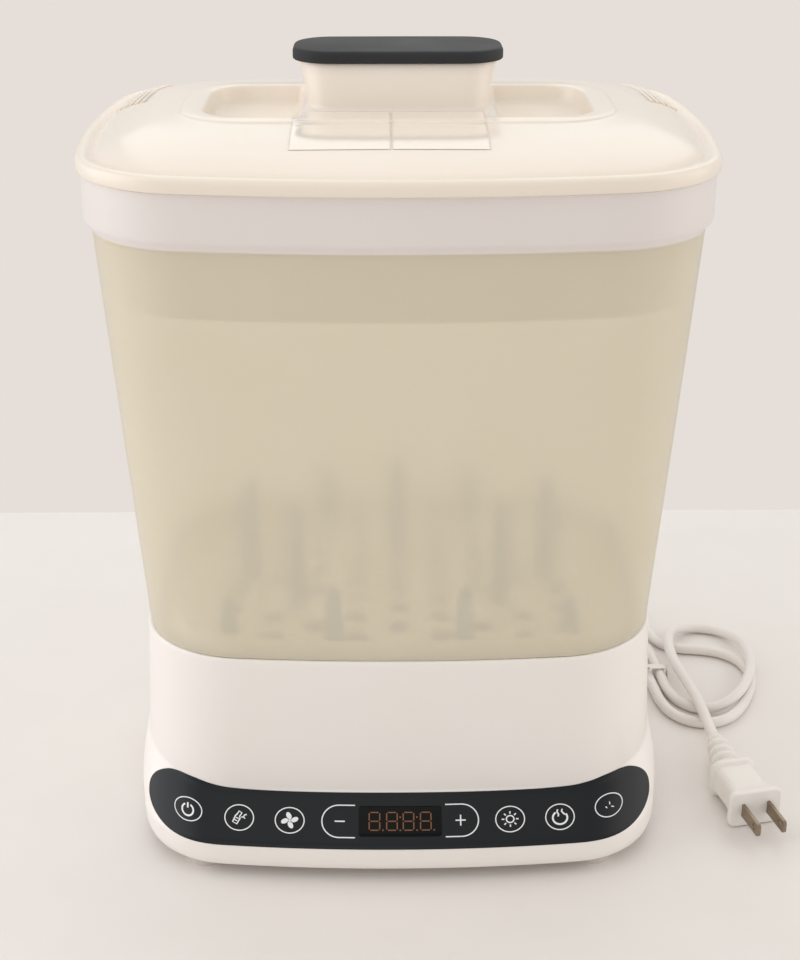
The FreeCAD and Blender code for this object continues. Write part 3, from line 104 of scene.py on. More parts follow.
@dataclass(frozen=True)
class Finish:
    """One material: what the real one is, its colours, gloss and fine relief.

    The grain is the pattern's real size in millimetres. A moulding's spark grain is near 0.15 mm and
    brushing lines are near 0.1 mm, too fine to show, so both are drawn at 0.7 mm. Foam cells are 1.1 mm
    and a board's rows of pads 3.8 mm, as they really are.
    """

    real: str
    colour: str
    shade: str
    roughness: float = 0.4
    skin: Skin = Skin.GRAIN
    relief: float = 0.06
    grain: float = 0.7
    metal: float = 0.0
    coat: float = 0.0
    clear: float = 0.0
    ior: float = 1.49
    milky: float = 0.0
    glow: float = 0.0

    def build(self) -> bpy.types.Material:
        """Makes the material and its nodes.

        Returns:
            The finished material, named for the real one.
        """
        material = bpy.data.materials.new(self.real)
        material.use_nodes = True
        tree = material.node_tree
        tree.nodes.clear()
        place = add_node(tree, "ShaderNodeTexCoord").outputs["Object"]
        height = self._height(tree, place)
        # The colour and the gloss drift a little over every 45 mm, as they do on real parts.
        drift = add_node(tree, "ShaderNodeTexNoise", {"Vector": place, "Scale": 22.0, "Detail": 3.0})
        drifting = drift.outputs["Fac"]
        tint = add_node(tree, "ShaderNodeMix", {
            "Factor": height if self.skin in (Skin.BOARD, Skin.FOAM) else drifting,
            "A": linear(self.colour), "B": linear(self.shade)}, data_type="RGBA")
        gloss = add_node(tree, "ShaderNodeMapRange", {
            "Value": drifting, "From Min": 0.3, "From Max": 0.7,
            "To Min": self.roughness * 0.92, "To Max": min(self.roughness * 1.10, 1.0)})
        bump = add_node(tree, "ShaderNodeBump", {
            "Height": height, "Strength": self.relief, "Distance": RELIEF_DEPTH * MM})
        looks = {
            "Base Color": tint.outputs["Result"], "Roughness": gloss.outputs["Result"],
            "Normal": bump.outputs["Normal"], "Metallic": self.metal, "Coat Weight": self.coat,
            "Coat Roughness": 0.12, "Transmission Weight": self.clear}
        if not self.metal:
            looks["IOR"] = self.ior
        if self.milky:
            looks |= {"Subsurface Weight": self.milky, "Subsurface Scale": 1.0,
                      "Subsurface Radius": tuple(depth * MM for depth in MILK_DEPTH)}
        if self.glow:
            looks |= {"Emission Color": linear(self.colour), "Emission Strength": self.glow}
        surface = add_node(tree, "ShaderNodeBsdfPrincipled", looks)
        add_node(tree, "ShaderNodeOutputMaterial", {"Surface": surface.outputs["BSDF"]})
        return material

    def _height(self, tree: bpy.types.NodeTree, place: bpy.types.NodeSocket) -> bpy.types.NodeSocket:
        """Makes the height pattern of the finish.

        Args:
            tree: The material's tree.
            place: The object coordinates.

        Returns:
            The socket that carries the height.
        """
        kind, output = {
            Skin.FOAM: ("ShaderNodeTexVoronoi", "Distance"),
            Skin.BOARD: ("ShaderNodeTexBrick", "Fac")}.get(self.skin, ("ShaderNodeTexNoise", "Fac"))
        stretch = BRUSH_STRETCH if self.skin is Skin.BRUSHED else (1.0, 1.0, 1.0)
        laid = add_node(tree, "ShaderNodeMapping", {"Vector": place, "Scale": stretch})
        feeds = {"Vector": laid.outputs["Vector"], "Scale": 1 / (self.grain * MM)}
        return add_node(tree, kind, feeds).outputs[output]


# Each finish is kept under the record's name for its material slot, and named for what the real one is.
FINISHES: dict[str, Finish] = {
    # Moulded ABS: an even, opaque warm white; its spark grain spreads the lamps into soft bands.
    "base_white": Finish("satin moulded ABS", "f8f3ee", "f5efe9", 0.32, coat=0.2, ior=1.53),
    # Moulded polypropylene: ivory and a little waxy, with light sinking in at its edges.
    "lid_ivory": Finish("ivory moulded polypropylene", "f7ecdf", "f4e8d9", 0.30, coat=0.25, milky=0.1),
    # Back-printed film: nearly black and calm, so the index is kept low.
    "panel_black": Finish("back-printed polyester film", "12161a", "101317", 0.32, relief=0.02, ior=1.37),
    # Smoked acrylic: blacker than the film round it, so only the digits show.
    "lens_smoke": Finish("smoked acrylic", "050505", "070707", 0.12, Skin.PLAIN, 0.01, ior=1.25),
    # Moulded polypropylene inside the base: a paler cream, duller than the lid.
    "inner_white": Finish("cream moulded polypropylene", "fcf6ea", "f8f1e4", 0.42),
    # Frosted polypropylene: more than half of the light scatters in the wall; the rest shows blurred pegs.
    "tub_clear": Finish("frosted polypropylene", "fff7e4", "fef4dd", 0.36, relief=0.02, clear=0.42, ior=1.2),
    # The same wall's inner face, polished by its core: it only bends the light a little.
    "tub_inside": Finish("polished polypropylene", "fffdf4", "fefbef", 0.20, relief=0.01, clear=1.0, ior=1.2),
    # The thick collar: milky and cooler, as hardly any light comes through.
    "collar_milk": Finish("milky polypropylene", "faf3f0", "f6eeea", 0.34, relief=0.02, clear=0.14, ior=1.35),
    # Moulded rack: pale plastic, its colour lifted to the palest as painted light, standing in for the light
    # scattered inside the frosted tub.
    "rack_cream": Finish("pale moulded polypropylene", "fffaee", "fdf7e8", 0.45),
    # Grey moulded pegs: matt, dark enough to show as shadows.
    "peg_grey": Finish("grey moulded polypropylene", "9fabaf", "95a1a5", 0.5),
    # Thin moulded tray: lets some light through, so it darkens the tub only a little.
    "tray_cream": Finish("thin natural polypropylene", "f8efe0", "f4ead8", 0.45, clear=0.3, ior=1.25),
    # Moulded silicone: matt and slightly grey from dust.
    "seal_silicone": Finish("moulded silicone rubber", "e6e2dc", "dcd7cf", 0.6, relief=0.03, ior=1.41),
    # Moulded rubber: no gloss at all.
    "feet_rubber": Finish("moulded soft rubber", "d8d0c8", "cbc2b9", 0.7, relief=0.15, ior=1.52),
    # Brushed stainless steel: bright, with streaks along its length.
    "dish_steel": Finish("brushed stainless steel", "c9c7c3", "b9b6b1", 0.22, Skin.BRUSHED, 0.08, metal=1.0),
    # Cast aluminium: grey and blurred.
    "element_metal": Finish("cast aluminium", "8d8a86", "7a7672", 0.35, Skin.BRUSHED, 0.1, metal=1.0),
    # Rolled aluminium: paler, with rolling streaks.
    "fin_metal": Finish("rolled aluminium", "b5b3ae", "a3a09b", 0.38, Skin.BRUSHED, 0.1, metal=1.0),
    # Zinc-plated steel: small bright highlights.
    "screw_steel": Finish("zinc-plated steel", "b9b8b5", "a6a4a0", 0.28, Skin.BRUSHED, 0.06, metal=1.0),
    # Drawn steel: the motor's can, with drawing marks.
    "motor_metal": Finish("drawn steel", "a7a5a1", "93918d", 0.33, Skin.BRUSHED, 0.1, metal=1.0),
    # Glass-epoxy board: green solder mask over rows of pads and tracks.
    "circuit_green": Finish(
        "solder-masked glass epoxy", "1d5b3a", "2c7a50", 0.45, Skin.BOARD, 0.1, 3.8, ior=1.55),
    # Moulded epoxy: the plain dull black of small parts.
    "part_black": Finish("moulded black epoxy", "1b1c1e", "232427", 0.45, ior=1.55),
    # Polyester tape: the transformer's yellow wrap.
    "part_yellow": Finish("polyester tape", "d7b63c", "c9a72f", 0.42, ior=1.57),
    # Glass-filled polyamide: a dull, heat-proof grey.
    "duct_grey": Finish("glass-filled polyamide", "8f9296", "868a8e", 0.5, ior=1.53),
    # Moulded polyester: the fan wheel's darker grey.
    "wheel_grey": Finish("moulded polyester", "5d6166", "555a5f", 0.5, ior=1.55),
    # Open-cell foam: black pores and no gloss.
    "filter_foam": Finish("open-cell polyurethane foam", "3c3f42", "55595c", 0.9, Skin.FOAM, 0.8, 1.1),
    # Fused quartz: clear, with sharp reflections.
    "quartz": Finish("polished quartz", "eef4f8", "e6eef4", 0.06, Skin.PLAIN, 0.01, clear=0.9, ior=1.46),
    # The grip's polypropylene: a shade greyer than the lid, with the same waxy edge.
    "grip_ivory": Finish("satin moulded polypropylene", "f4eadf", "f1e6d9", 0.34, coat=0.15, milky=0.08),
    # Soft-touch lacquer on ABS: charcoal, with a broad faint sheen.
    "cap_dark": Finish("soft-touch lacquered ABS", "2a2c2f", "26282b", 0.6, relief=0.08, ior=1.4),
    # Extruded PVC: a neutral white with a dull skin.
    "cord_white": Finish("extruded PVC", "efeae6", "e8e2dd", 0.42, relief=0.08, ior=1.53),
    # Moulded PVC: as the cord, a little smoother.
    "plug_white": Finish("moulded PVC", "f3efea", "ece7e1", 0.4, relief=0.05, ior=1.53),
    # Nickel-plated brass: a warm grey metal, stamped and tumbled.
    "blade_nickel": Finish("nickel-plated brass", "a3937f", "8d7d6a", 0.3, Skin.BRUSHED, 0.08, metal=1.0),
    # Screen-printed ink: flat white lines.
    "sign_grey": Finish("screen-printed white ink", "f0f1f2", "e9eaec", 0.5, Skin.PLAIN, 0.01),
    # Light-emitting segments at their dimmest: brown with a faint glow.
    "digit_amber": Finish("amber display segments", "7d5032", "70462b", 0.5, Skin.PLAIN, 0.01, glow=0.1),
    # Clear polyester film on the lid: takes the lid's colour and adds gloss.
    "label_film": Finish(
        "clear polyester film", "f9efe2", "f6ebdd", 0.14, Skin.PLAIN, 0.02, coat=0.4, ior=1.57),
    # The film's cut edge: a thin line of painted shade, a little darker than the film.
    "painted_edge_shade": Finish("painted shade along the cut edge of the film", "e8ddcf", "e2d7c8", 0.3, Skin.PLAIN, 0.01, ior=1.57),
}


class Paints:
    """The finishes of this object, each made when it is first asked for."""

    def __init__(self) -> None:
        """Starts with nothing made."""
        self._made: dict[str, bpy.types.Material] = {}

    def __getitem__(self, name: str) -> bpy.types.Material:
        """Gives a finish's material.

        Args:
            name: The finish's name.

        Returns:
            The material, made only once.
        """
        if name not in self._made:
            self._made[name] = FINISHES[name].build()
        return self._made[name]


PAINT = Paints()


# ------------------------------------------------------------------ meshes
# Corners closer than this, in millimetres, are one corner.
WELD = 0.02


@dataclass
class Shape:
    """Corners in millimetres, the faces between them, and the edges of a bare line."""

    points: list[Point] = field(default_factory=list)
    faces: list[Face] = field(default_factory=list)
    edges: list[Face] = field(default_factory=list)

    def add(self, other: "Shape") -> "Shape":
        """Adds another shape's faces to this one.

        Args:
            other: The shape to add.

        Returns:
            This shape.
        """
        start = len(self.points)
        self.points += other.points
        self.faces += [tuple(start + i for i in face) for face in other.faces]
        return self

    def moved(self, matrix: Matrix) -> "Shape":
        """Gives a copy, turned and moved by a matrix in millimetres."""
        return Shape([tuple(matrix @ Vector(p)) for p in self.points], list(self.faces))

    def laid(self, place: Callable[[float, float], Point]) -> "Shape":
        """Gives a copy with each flat point put where a rule says."""
        return Shape([place(x, y) for x, y, _ in self.points], self.faces)

    def mesh(self, name: str) -> bpy.types.Mesh:
        """Makes the plain mesh.

        Args:
            name: Its name.

        Returns:
            The mesh, in metres.
        """
        mesh = bpy.data.meshes.new(name)
        mesh.from_pydata([tuple(c * MM for c in p) for p in self.points], self.edges, self.faces)
        return mesh

    def piece(self, name: str, finish: str, smooth: float = 35.0) -> bpy.types.Object:
        """Makes the mesh object, welded, with its faces outwards.

        Args:
            name: The piece's name.
            finish: The name of its finish.
            smooth: The steepest bend, in degrees, that is shaded smooth.

        Returns:
            The new object, at the origin.
        """
        mesh = self.mesh(name)
        welded = bmesh.new()
        welded.from_mesh(mesh)
        bmesh.ops.remove_doubles(welded, verts=welded.verts, dist=WELD * MM)
        bmesh.ops.recalc_face_normals(welded, faces=welded.faces)
        welded.to_mesh(mesh)
        welded.free()
        mesh.materials.append(PAINT[finish])
        return placed(name, shaded(mesh, smooth))


def shaded(mesh: bpy.types.Mesh, smooth: float = 35.0) -> bpy.types.Mesh:
    """Shades a mesh smooth.

    Args:
        mesh: The mesh.
        smooth: The steepest bend, in degrees, that is shaded smooth.

    Returns:
        The mesh.
    """
    mesh.shade_smooth()
    mesh.set_sharp_from_angle(angle=math.radians(smooth))
    return mesh


def placed(name: str, data: bpy.types.ID) -> bpy.types.Object:
    """Puts a new object into the scene.

    Args:
        name: Its name.
        data: Its mesh, curve, light or camera.

    Returns:
        The object, at the origin.
    """
    made = bpy.data.objects.new(name, data)
    bpy.context.scene.collection.objects.link(made)
    return made


def fit(piece: bpy.types.Object, body: str, slot: str, *nodes: str) -> bpy.types.Object:
    """Ties a finished piece to its body and hides the nodes that it stands for.

    Args:
        piece: The finished piece.
        body: The body that it moves with.
        slot: The record's material slot; not used.
        nodes: The nodes that it replaces.

    Returns:
        The piece.
    """
    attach(piece, body)
    if nodes:
        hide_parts(*nodes)
    LOG.info("%s rides on %s", piece.name, body)
    return piece


def loft(rings: Sequence[Sequence[Point]], cap_first: bool = False, cap_last: bool = False,
         skip: Callable[[int, int], bool] | None = None) -> Shape:
    """Joins closed rings of equal length with faces.

    Args:
        rings: The rings, from one end to the other.
        cap_first: Whether the first ring is closed with a face.
        cap_last: Whether the last ring is closed with a face.
        skip: Says which face, by ring and by place round it, is left open.

    Returns:
        The shape.
    """
    size = len(rings[0])
    points = [p for ring in rings for p in ring]
    faces: list[Face] = []
    for i in range(len(rings) - 1):
        for j in range(size):
            if skip and skip(i, j):
                continue
            k = (j + 1) % size
            faces.append((i * size + j, i * size + k, (i + 1) * size + k, (i + 1) * size + j))
    if cap_first:
        faces.append(tuple(reversed(range(size))))
    if cap_last:
        faces.append(tuple(range((len(rings) - 1) * size, len(rings) * size)))
    return Shape(points, faces)


def grid(rows: Sequence[Sequence[Point]]) -> Shape:
    """Joins open rows of equal length with faces.

    Args:
        rows: The rows, from one side to the other.

    Returns:
        The sheet.
    """
    size = len(rows[0])
    faces = [(i * size + j, i * size + j + 1, (i + 1) * size + j + 1, (i + 1) * size + j)
             for i in range(len(rows) - 1) for j in range(size - 1)]
    return Shape([p for row in rows for p in row], faces)


def around(count: int) -> list[float]:
    """Gives even turns round a circle, in radians."""
    return [2 * math.pi * i / count for i in range(count)]


def crowded(half: int) -> list[float]:
    """Gives places from -1 to 1 that crowd toward both ends, where outlines turn."""
    return [math.sin(math.pi / 2 * i / half) for i in range(-half, half + 1)]


def thickened(piece: bpy.types.Object, thick: float, bevel: float = 0.0) -> bpy.types.Object:
    """Gives a sheet its thickness, inwards, and softens its edges.

    Args:
        piece: The sheet.
        thick: The thickness in millimetres.
        bevel: The edge's softening in millimetres.

    Returns:
        The solid piece, with no modifier left on it.
    """
    wall = piece.modifiers.new("wall", "SOLIDIFY")
    wall.thickness = thick * MM
    wall.offset = -1.0
    if bevel:
        soft = piece.modifiers.new("soft", "BEVEL")
        soft.width = bevel * MM
        soft.segments = 2
        soft.limit_method = "ANGLE"
        soft.angle_limit = math.radians(50)
    return settled(piece)


def settled(piece: bpy.types.Object) -> bpy.types.Object:
    """Turns a piece's live modifiers into its own mesh.

    Args:
        piece: The piece with modifiers.

    Returns:
        The same piece, with a plain mesh.
    """
    graph = bpy.context.evaluated_depsgraph_get()
    made = bpy.data.meshes.new_from_object(piece.evaluated_get(graph), depsgraph=graph)
    piece.modifiers.clear()
    piece.data = made
    return piece


# ------------------------------------------------------------------ outlines
@dataclass(frozen=True)
class Plan:
    """A rounded rectangle with bowed sides: its reaches, its corners and its bows."""

    half_width: float
    front: float
    back: float
    corner: float
    back_corner: float
    side_bow: float
    end_bow: float

    def shrink(self, sides: float, ends: float | None = None) -> "Plan":
        """Draws the plan in.

        Args:
            sides: How far at the sides.
            ends: How far at the front and the back, or as the sides.

        Returns:
            The smaller plan.
        """
        ends = sides if ends is None else ends
        return replace(self, half_width=self.half_width - sides, front=self.front - ends,
                       back=self.back - ends, corner=max(self.corner - sides, 2.0),
                       back_corner=max(self.back_corner - sides, 2.0))

    def toward(self, other: "Plan", share: float) -> "Plan":
        """Gives the plan that lies a share of the way to another."""
        mine, theirs = list(vars(self).values()), list(vars(other).values())
        return Plan(*(a + (b - a) * share for a, b in zip(mine, theirs)))

    def outline(self, side: int = 20, corner: int = 22, end: int = 36) -> list[Flat]:
        """Gives points round the plan, anticlockwise from the right side's front end.

        Args:
            side: The number of steps along a side.
            corner: The number of steps round a corner.
            end: The number of steps along the front or the back.

        Returns:
            The points.
        """
        x = self.half_width - self.side_bow
        front, back = self.front - self.end_bow, self.back - self.end_bow
        half, middle = (front + back) / 2, (back - front) / 2
        side_r = (half ** 2 + self.side_bow ** 2) / (2 * self.side_bow)
        end_r = (x ** 2 + self.end_bow ** 2) / (2 * self.end_bow)
        side_c = Vector((self.half_width - side_r, middle))
        front_c, back_c = Vector((0, end_r - self.front)), Vector((0, self.back - end_r))
        low, high = (
            _corner(side_c, side_r - inset, end_c, end_r - inset, Vector((x, y)))
            for inset, end_c, y in ((self.corner, front_c, -front), (self.back_corner, back_c, back)))

        def turn(centre: Vector, away: Vector) -> float:
            """Gives the turn at which one centre sees another."""
            return math.atan2(centre.y - away.y, centre.x - away.x)

        low_side, high_side = turn(low, side_c), turn(high, side_c)
        rear_turn, front_turn = turn(high, back_c), turn(low, front_c)
        wall = (side_c, side_r, low_side, high_side, side)
        upper = (high, self.back_corner, high_side, rear_turn, corner)
        lower = (low, self.corner, front_turn, low_side, corner)
        rear = _arc(back_c, end_r, rear_turn, math.pi - rear_turn, end)
        fore = _arc(front_c, end_r, -math.pi - front_turn, front_turn, end)
        left = [(-x, y) for arc in (upper, wall, lower) for x, y in reversed(_arc(*arc, late=1))]
        return [*_arc(*wall), *_arc(*upper), *rear, *left, *fore, *_arc(*lower)]

    def ring(self, height: float) -> list[Point]:
        """Gives the outline's points at a height."""
        return [(x, y, height) for x, y in self.outline()]


def _corner(first: Vector, first_r: float, second: Vector, second_r: float, near: Vector) -> Vector:
    """Finds where an arc lies that touches two larger ones from inside.

    Args:
        first: The first arc's centre.
        first_r: How far from it the touching arc's centre lies.
        second: The second arc's centre.
        second_r: How far from it the touching arc's centre lies.
        near: The corner that the arc rounds.

    Returns:
        The touching arc's centre.
    """
    gap = second - first
    along = (first_r ** 2 - second_r ** 2 + gap.length_squared) / (2 * gap.length)
    unit = gap.normalized()
    aside = math.sqrt(max(first_r ** 2 - along ** 2, 0.0))
    middle = first + unit * along
    across = Vector((-unit.y, unit.x)) * aside
    return min((middle + across, middle - across), key=lambda p: (p - near).length)


def _arc(centre: Vector, radius: float, start: float, end: float, steps: int,
         late: int = 0) -> list[Flat]:
    """Gives points along an arc, without its last one, or without its first if late is 1."""
    turns = [start + (end - start) * (i + late) / steps for i in range(steps)]
    return [(centre.x + radius * math.cos(t), centre.y + radius * math.sin(t)) for t in turns]


def curve_through(stops: Sequence[Flat], at: float) -> float:
    """Reads a smooth curve through stops.

    Args:
        stops: Pairs of place and value, in order of place.
        at: The place to read.

    Returns:
        The value there.
    """
    at = min(max(at, stops[0][0]), stops[-1][0])
    index = next((i for i in range(len(stops) - 1) if at <= stops[i + 1][0]), len(stops) - 2)

    def slope(i: int) -> float:
        """Gives the curve's slope at a stop."""
        before, after = stops[max(i - 1, 0)], stops[min(i + 1, len(stops) - 1)]
        return (after[1] - before[1]) / (after[0] - before[0])

    (x0, y0), (x1, y1) = stops[index], stops[index + 1]
    span = x1 - x0
    u = (at - x0) / span
    rise = (2 * u ** 3 - 3 * u ** 2 + 1) * y0 + (3 * u ** 2 - 2 * u ** 3) * y1
    return rise + span * ((u ** 3 - 2 * u ** 2 + u) * slope(index) + (u ** 3 - u ** 2) * slope(index + 1))


RIM = Plan(116.1, 92.0, 92.0, 47.0, 47.0, 4.0, 7.9)
FOOT = replace(RIM, half_width=120.2)
LIP = Plan(120.4, 112.8, 96.0, 44.0, 46.0, 4.0, 9.6)
COLLAR = Plan(132.2, 108.4, 108.4, 50.0, 50.0, 8.0, 12.0)
LID = Plan(134.6, 111.4, 112.8, 52.0, 52.0, 10.0, 14.0)
PIT = Plan(82.3, 37.4, 37.4, 19.0, 19.0, 1.0, 1.5)
# Place i on the right of a ring is mirrored by place MIRROR - i on its left.
MIRROR = 120


# ------------------------------------------------------------------ flat signs
def divided(points: Sequence[Flat], step: float) -> list[Flat]:
    """Adds points along a line, so that it can follow a curved surface.

    Args:
        points: The line's corners.
        step: The longest way between two points.

    Returns:
        The finer line.
    """
    fine = [points[0]]
    for (x0, y0), (x1, y1) in zip(points, points[1:]):
        count = max(int(math.hypot(x1 - x0, y1 - y0) / step), 1)
        fine += [(x0 + (x1 - x0) * i / count, y0 + (y1 - y0) * i / count) for i in range(1, count + 1)]
    return fine


class Ink:
    """Strokes and spots drawn flat, laid later on a curved surface."""

    def __init__(self) -> None:
        """Starts with an empty sheet."""
        self.shape = Shape()

    def stroke(self, points: Sequence[Flat], wide: float, closed: bool = False) -> "Ink":
        """Draws a line of even width.

        Args:
            points: The line's points.
            wide: The line's width.
            closed: Whether it ends where it starts.

        Returns:
            This sheet.
        """
        count = len(points)
        inner: list[Point] = []
        outer: list[Point] = []
        for i, (x, y) in enumerate(points):
            before = points[(i - 1) % count] if closed or i else points[i]
            after = points[(i + 1) % count] if closed or i < count - 1 else points[i]
            along = Vector((after[0] - before[0], after[1] - before[1])).normalized()
            inner.append((x + along.y * wide / 2, y - along.x * wide / 2, 0.0))
            outer.append((x - along.y * wide / 2, y + along.x * wide / 2, 0.0))
        self.shape.add(loft([outer, inner]) if closed else grid([outer, inner]))
        return self

    def arc(self, centre: Flat, across: float, tall: float, start: float, end: float,
            wide: float, steps: int = 40) -> "Ink":
        """Draws part of an oval or all of it.

        Args:
            centre: Its middle.
            across: Half its width.
            tall: Half its height.
            start: Where it starts, in degrees from the right.
            end: Where it ends.
            wide: The line's width.
            steps: The number of strokes.

        Returns:
            This sheet.
        """
        turns = [math.radians(start + (end - start) * i / steps) for i in range(steps + 1)]
        points = [(centre[0] + across * math.cos(t), centre[1] + tall * math.sin(t)) for t in turns]
        whole = abs(end - start) >= 360
        return self.stroke(points[:-1] if whole else points, wide, whole)

    def spot(self, points: Sequence[Flat]) -> "Ink":
        """Fills an outline that is convex or nearly so.

        Args:
            points: Its points.

        Returns:
            This sheet.
        """
        size = len(points)
        centre = (sum(x for x, _ in points) / size, sum(y for _, y in points) / size, 0.0)
        faces = [(size, i, (i + 1) % size) for i in range(size)]
        self.shape.add(Shape([(x, y, 0.0) for x, y in points] + [centre], faces))
        return self


def oval(centre: Flat, across: float, tall: float, lean: float = 0.0, steps: int = 20) -> list[Flat]:
    """Gives points round an oval.

    Args:
        centre: Its middle.
        across: Half its width.
        tall: Half its height.
        lean: Its turn in degrees.
        steps: The number of points.

    Returns:
        The points.
    """
    turn = Matrix.Rotation(math.radians(lean), 2)
    return [tuple(Vector(centre) + turn @ Vector((across * math.cos(t), tall * math.sin(t))))
            for t in around(steps)]


class Sign(Enum):
    """What each touch field shows."""

    POWER = "power"
    WASH = "bottle and steam"
    FAN = "fan"
    LESS = "minus"
    MORE = "plus"
    LAMP = "sun"
    STEAM = "steam"
    TIMER = "timer"


@dataclass(frozen=True)
class Key:
    """One touch field: its sign and its place along and up the slope."""

    sign: Sign
    along: float
    up: float


@dataclass
class Signs:
    """The signs printed on the panel."""

    ring_across: float = 6.5
    ring_tall: float = 5.9
    # The outermost rings lie where the panel turns away, so they are drawn wider and lower.
    far_across: float = 1.09
    far_tall: float = 0.93
    line: float = 0.5
    bold: float = 0.85
    keys: tuple[Key, ...] = (
        Key(Sign.POWER, -95.7, 0.6), Key(Sign.WASH, -72.1, -0.6), Key(Sign.FAN, -49.4, -0.9),
        Key(Sign.LESS, -27.0, -0.8), Key(Sign.MORE, 27.0, -0.6), Key(Sign.LAMP, 49.2, -0.9),
        Key(Sign.STEAM, 71.7, -1.1), Key(Sign.TIMER, 94.6, 1.6))

    def draw(self, key: Key) -> Shape:
        """Draws one field's sign with its ring.

        Args:
            key: The field.

        Returns:
            The flat shape, about the field's middle.
        """
        ink = Ink()
        if key.sign in (Sign.LESS, Sign.MORE):
            self._half_pill(ink, 1.0 if key.sign is Sign.MORE else -1.0)
            ink.stroke([(-2.3, 0.0), (2.3, 0.0)], 0.6)
            if key.sign is Sign.MORE:
                ink.stroke([(0.0, -2.5), (0.0, -0.3)], 0.6).stroke([(0.0, 0.3), (0.0, 2.5)], 0.6)
            return ink.shape
        far = key.sign in (Sign.POWER, Sign.TIMER)
        wide, tall = (self.far_across, self.far_tall) if far else (1.0, 1.0)
        ink.arc((0.0, 0.0), self.ring_across * wide, self.ring_tall * tall, 0, 360, self.line)
        drawing = {Sign.POWER: self._power, Sign.WASH: self._wash, Sign.FAN: self._fan,
                   Sign.LAMP: self._sun, Sign.STEAM: self._steam, Sign.TIMER: self._timer}
        drawing[key.sign](ink)
        return ink.shape

    def _half_pill(self, ink: Ink, side: float) -> None:
        """Draws the open key beside the window, round on its outer side.

        Args:
            ink: The sheet to draw on.
            side: Which side of the window, -1 or 1.
        """
        straight, tall, round_at, round_wide = 6.8, 7.45, 0.4, 7.6
        turns = [math.radians(90 - 6 * i) for i in range(31)]
        bend = [((round_at + round_wide * math.cos(t)) * side, tall * math.sin(t)) for t in turns]
        ink.stroke([(-straight * side, tall), *bend, (-straight * side, -tall)], 0.55)

    def _power(self, ink: Ink) -> None:
        """Draws the open ring and its bar."""
        ink.arc((0.0, -0.3), 2.9, 2.8, 118, 422, self.bold).stroke([(0.0, 0.6), (0.0, 3.1)], self.bold)

    def _wash(self, ink: Ink) -> None:
        """Draws a bottle that leans over and a puff of steam.

        Args:
            ink: The sheet to draw on.
        """
        bottle = [(-2.9, -2.0), (-1.0, -3.0), (0.4, -0.4), (0.2, 0.6), (1.2, 2.2), (-0.1, 3.0),
                  (-1.0, 1.5), (-1.7, 0.9)]
        ink.stroke(bottle, 0.6, closed=True)
        ink.stroke([(-2.2, -0.9), (-0.9, -1.6)], 0.5).stroke([(-1.6, 0.1), (-0.2, -0.5)], 0.5)
        ink.stroke([(1.0, 0.2), (2.0, 0.4), (2.4, 1.3), (3.4, 1.6)], 0.6)
        ink.stroke([(1.9, 0.4), (2.7, -0.4)], 0.5)

    def _fan(self, ink: Ink) -> None:
        """Draws four blades round a hub.

        Args:
            ink: The sheet to draw on.
        """
        for turn in (100, 190, 280, 370):
            t = math.radians(turn)
            ink.spot(oval((2.3 * math.cos(t), 2.15 * math.sin(t)), 1.75, 1.1, turn + 18))
            ink.stroke([(0.0, 0.0), (1.2 * math.cos(t), 1.2 * math.sin(t))], 0.5)

    def _sun(self, ink: Ink) -> None:
        """Draws a lamp's sun: a ring and eight rays.

        Args:
            ink: The sheet to draw on.
        """
        ink.arc((0.0, 0.0), 1.7, 1.6, 0, 360, 0.6)
        for start, end in zip(oval((0.0, 0.0), 2.6, 2.5, steps=8), oval((0.0, 0.0), 3.8, 3.6, steps=8)):
            ink.stroke([start, end], 0.6)

    def _steam(self, ink: Ink) -> None:
        """Draws a bowl of rising steam.

        Args:
            ink: The sheet to draw on.
        """
        ink.arc((0.0, -0.4), 3.3, 3.0, 125, 395, self.bold)
        ink.stroke([(-0.9, 3.5), (-1.3, 2.4), (-0.6, 1.2), (-0.9, 0.2)], 0.7)
        ink.stroke([(1.2, 3.6), (0.8, 2.6), (1.6, 1.6), (2.4, 0.9)], 0.7)

    def _timer(self, ink: Ink) -> None:
        """Draws three short marks."""
        ink.stroke([(0.1, 1.6), (0.2, 0.2)], 0.5).stroke([(-2.0, -0.3), (-1.3, -1.2)], 0.5)
        ink.stroke([(0.9, -0.8), (2.3, -1.4)], 0.5)


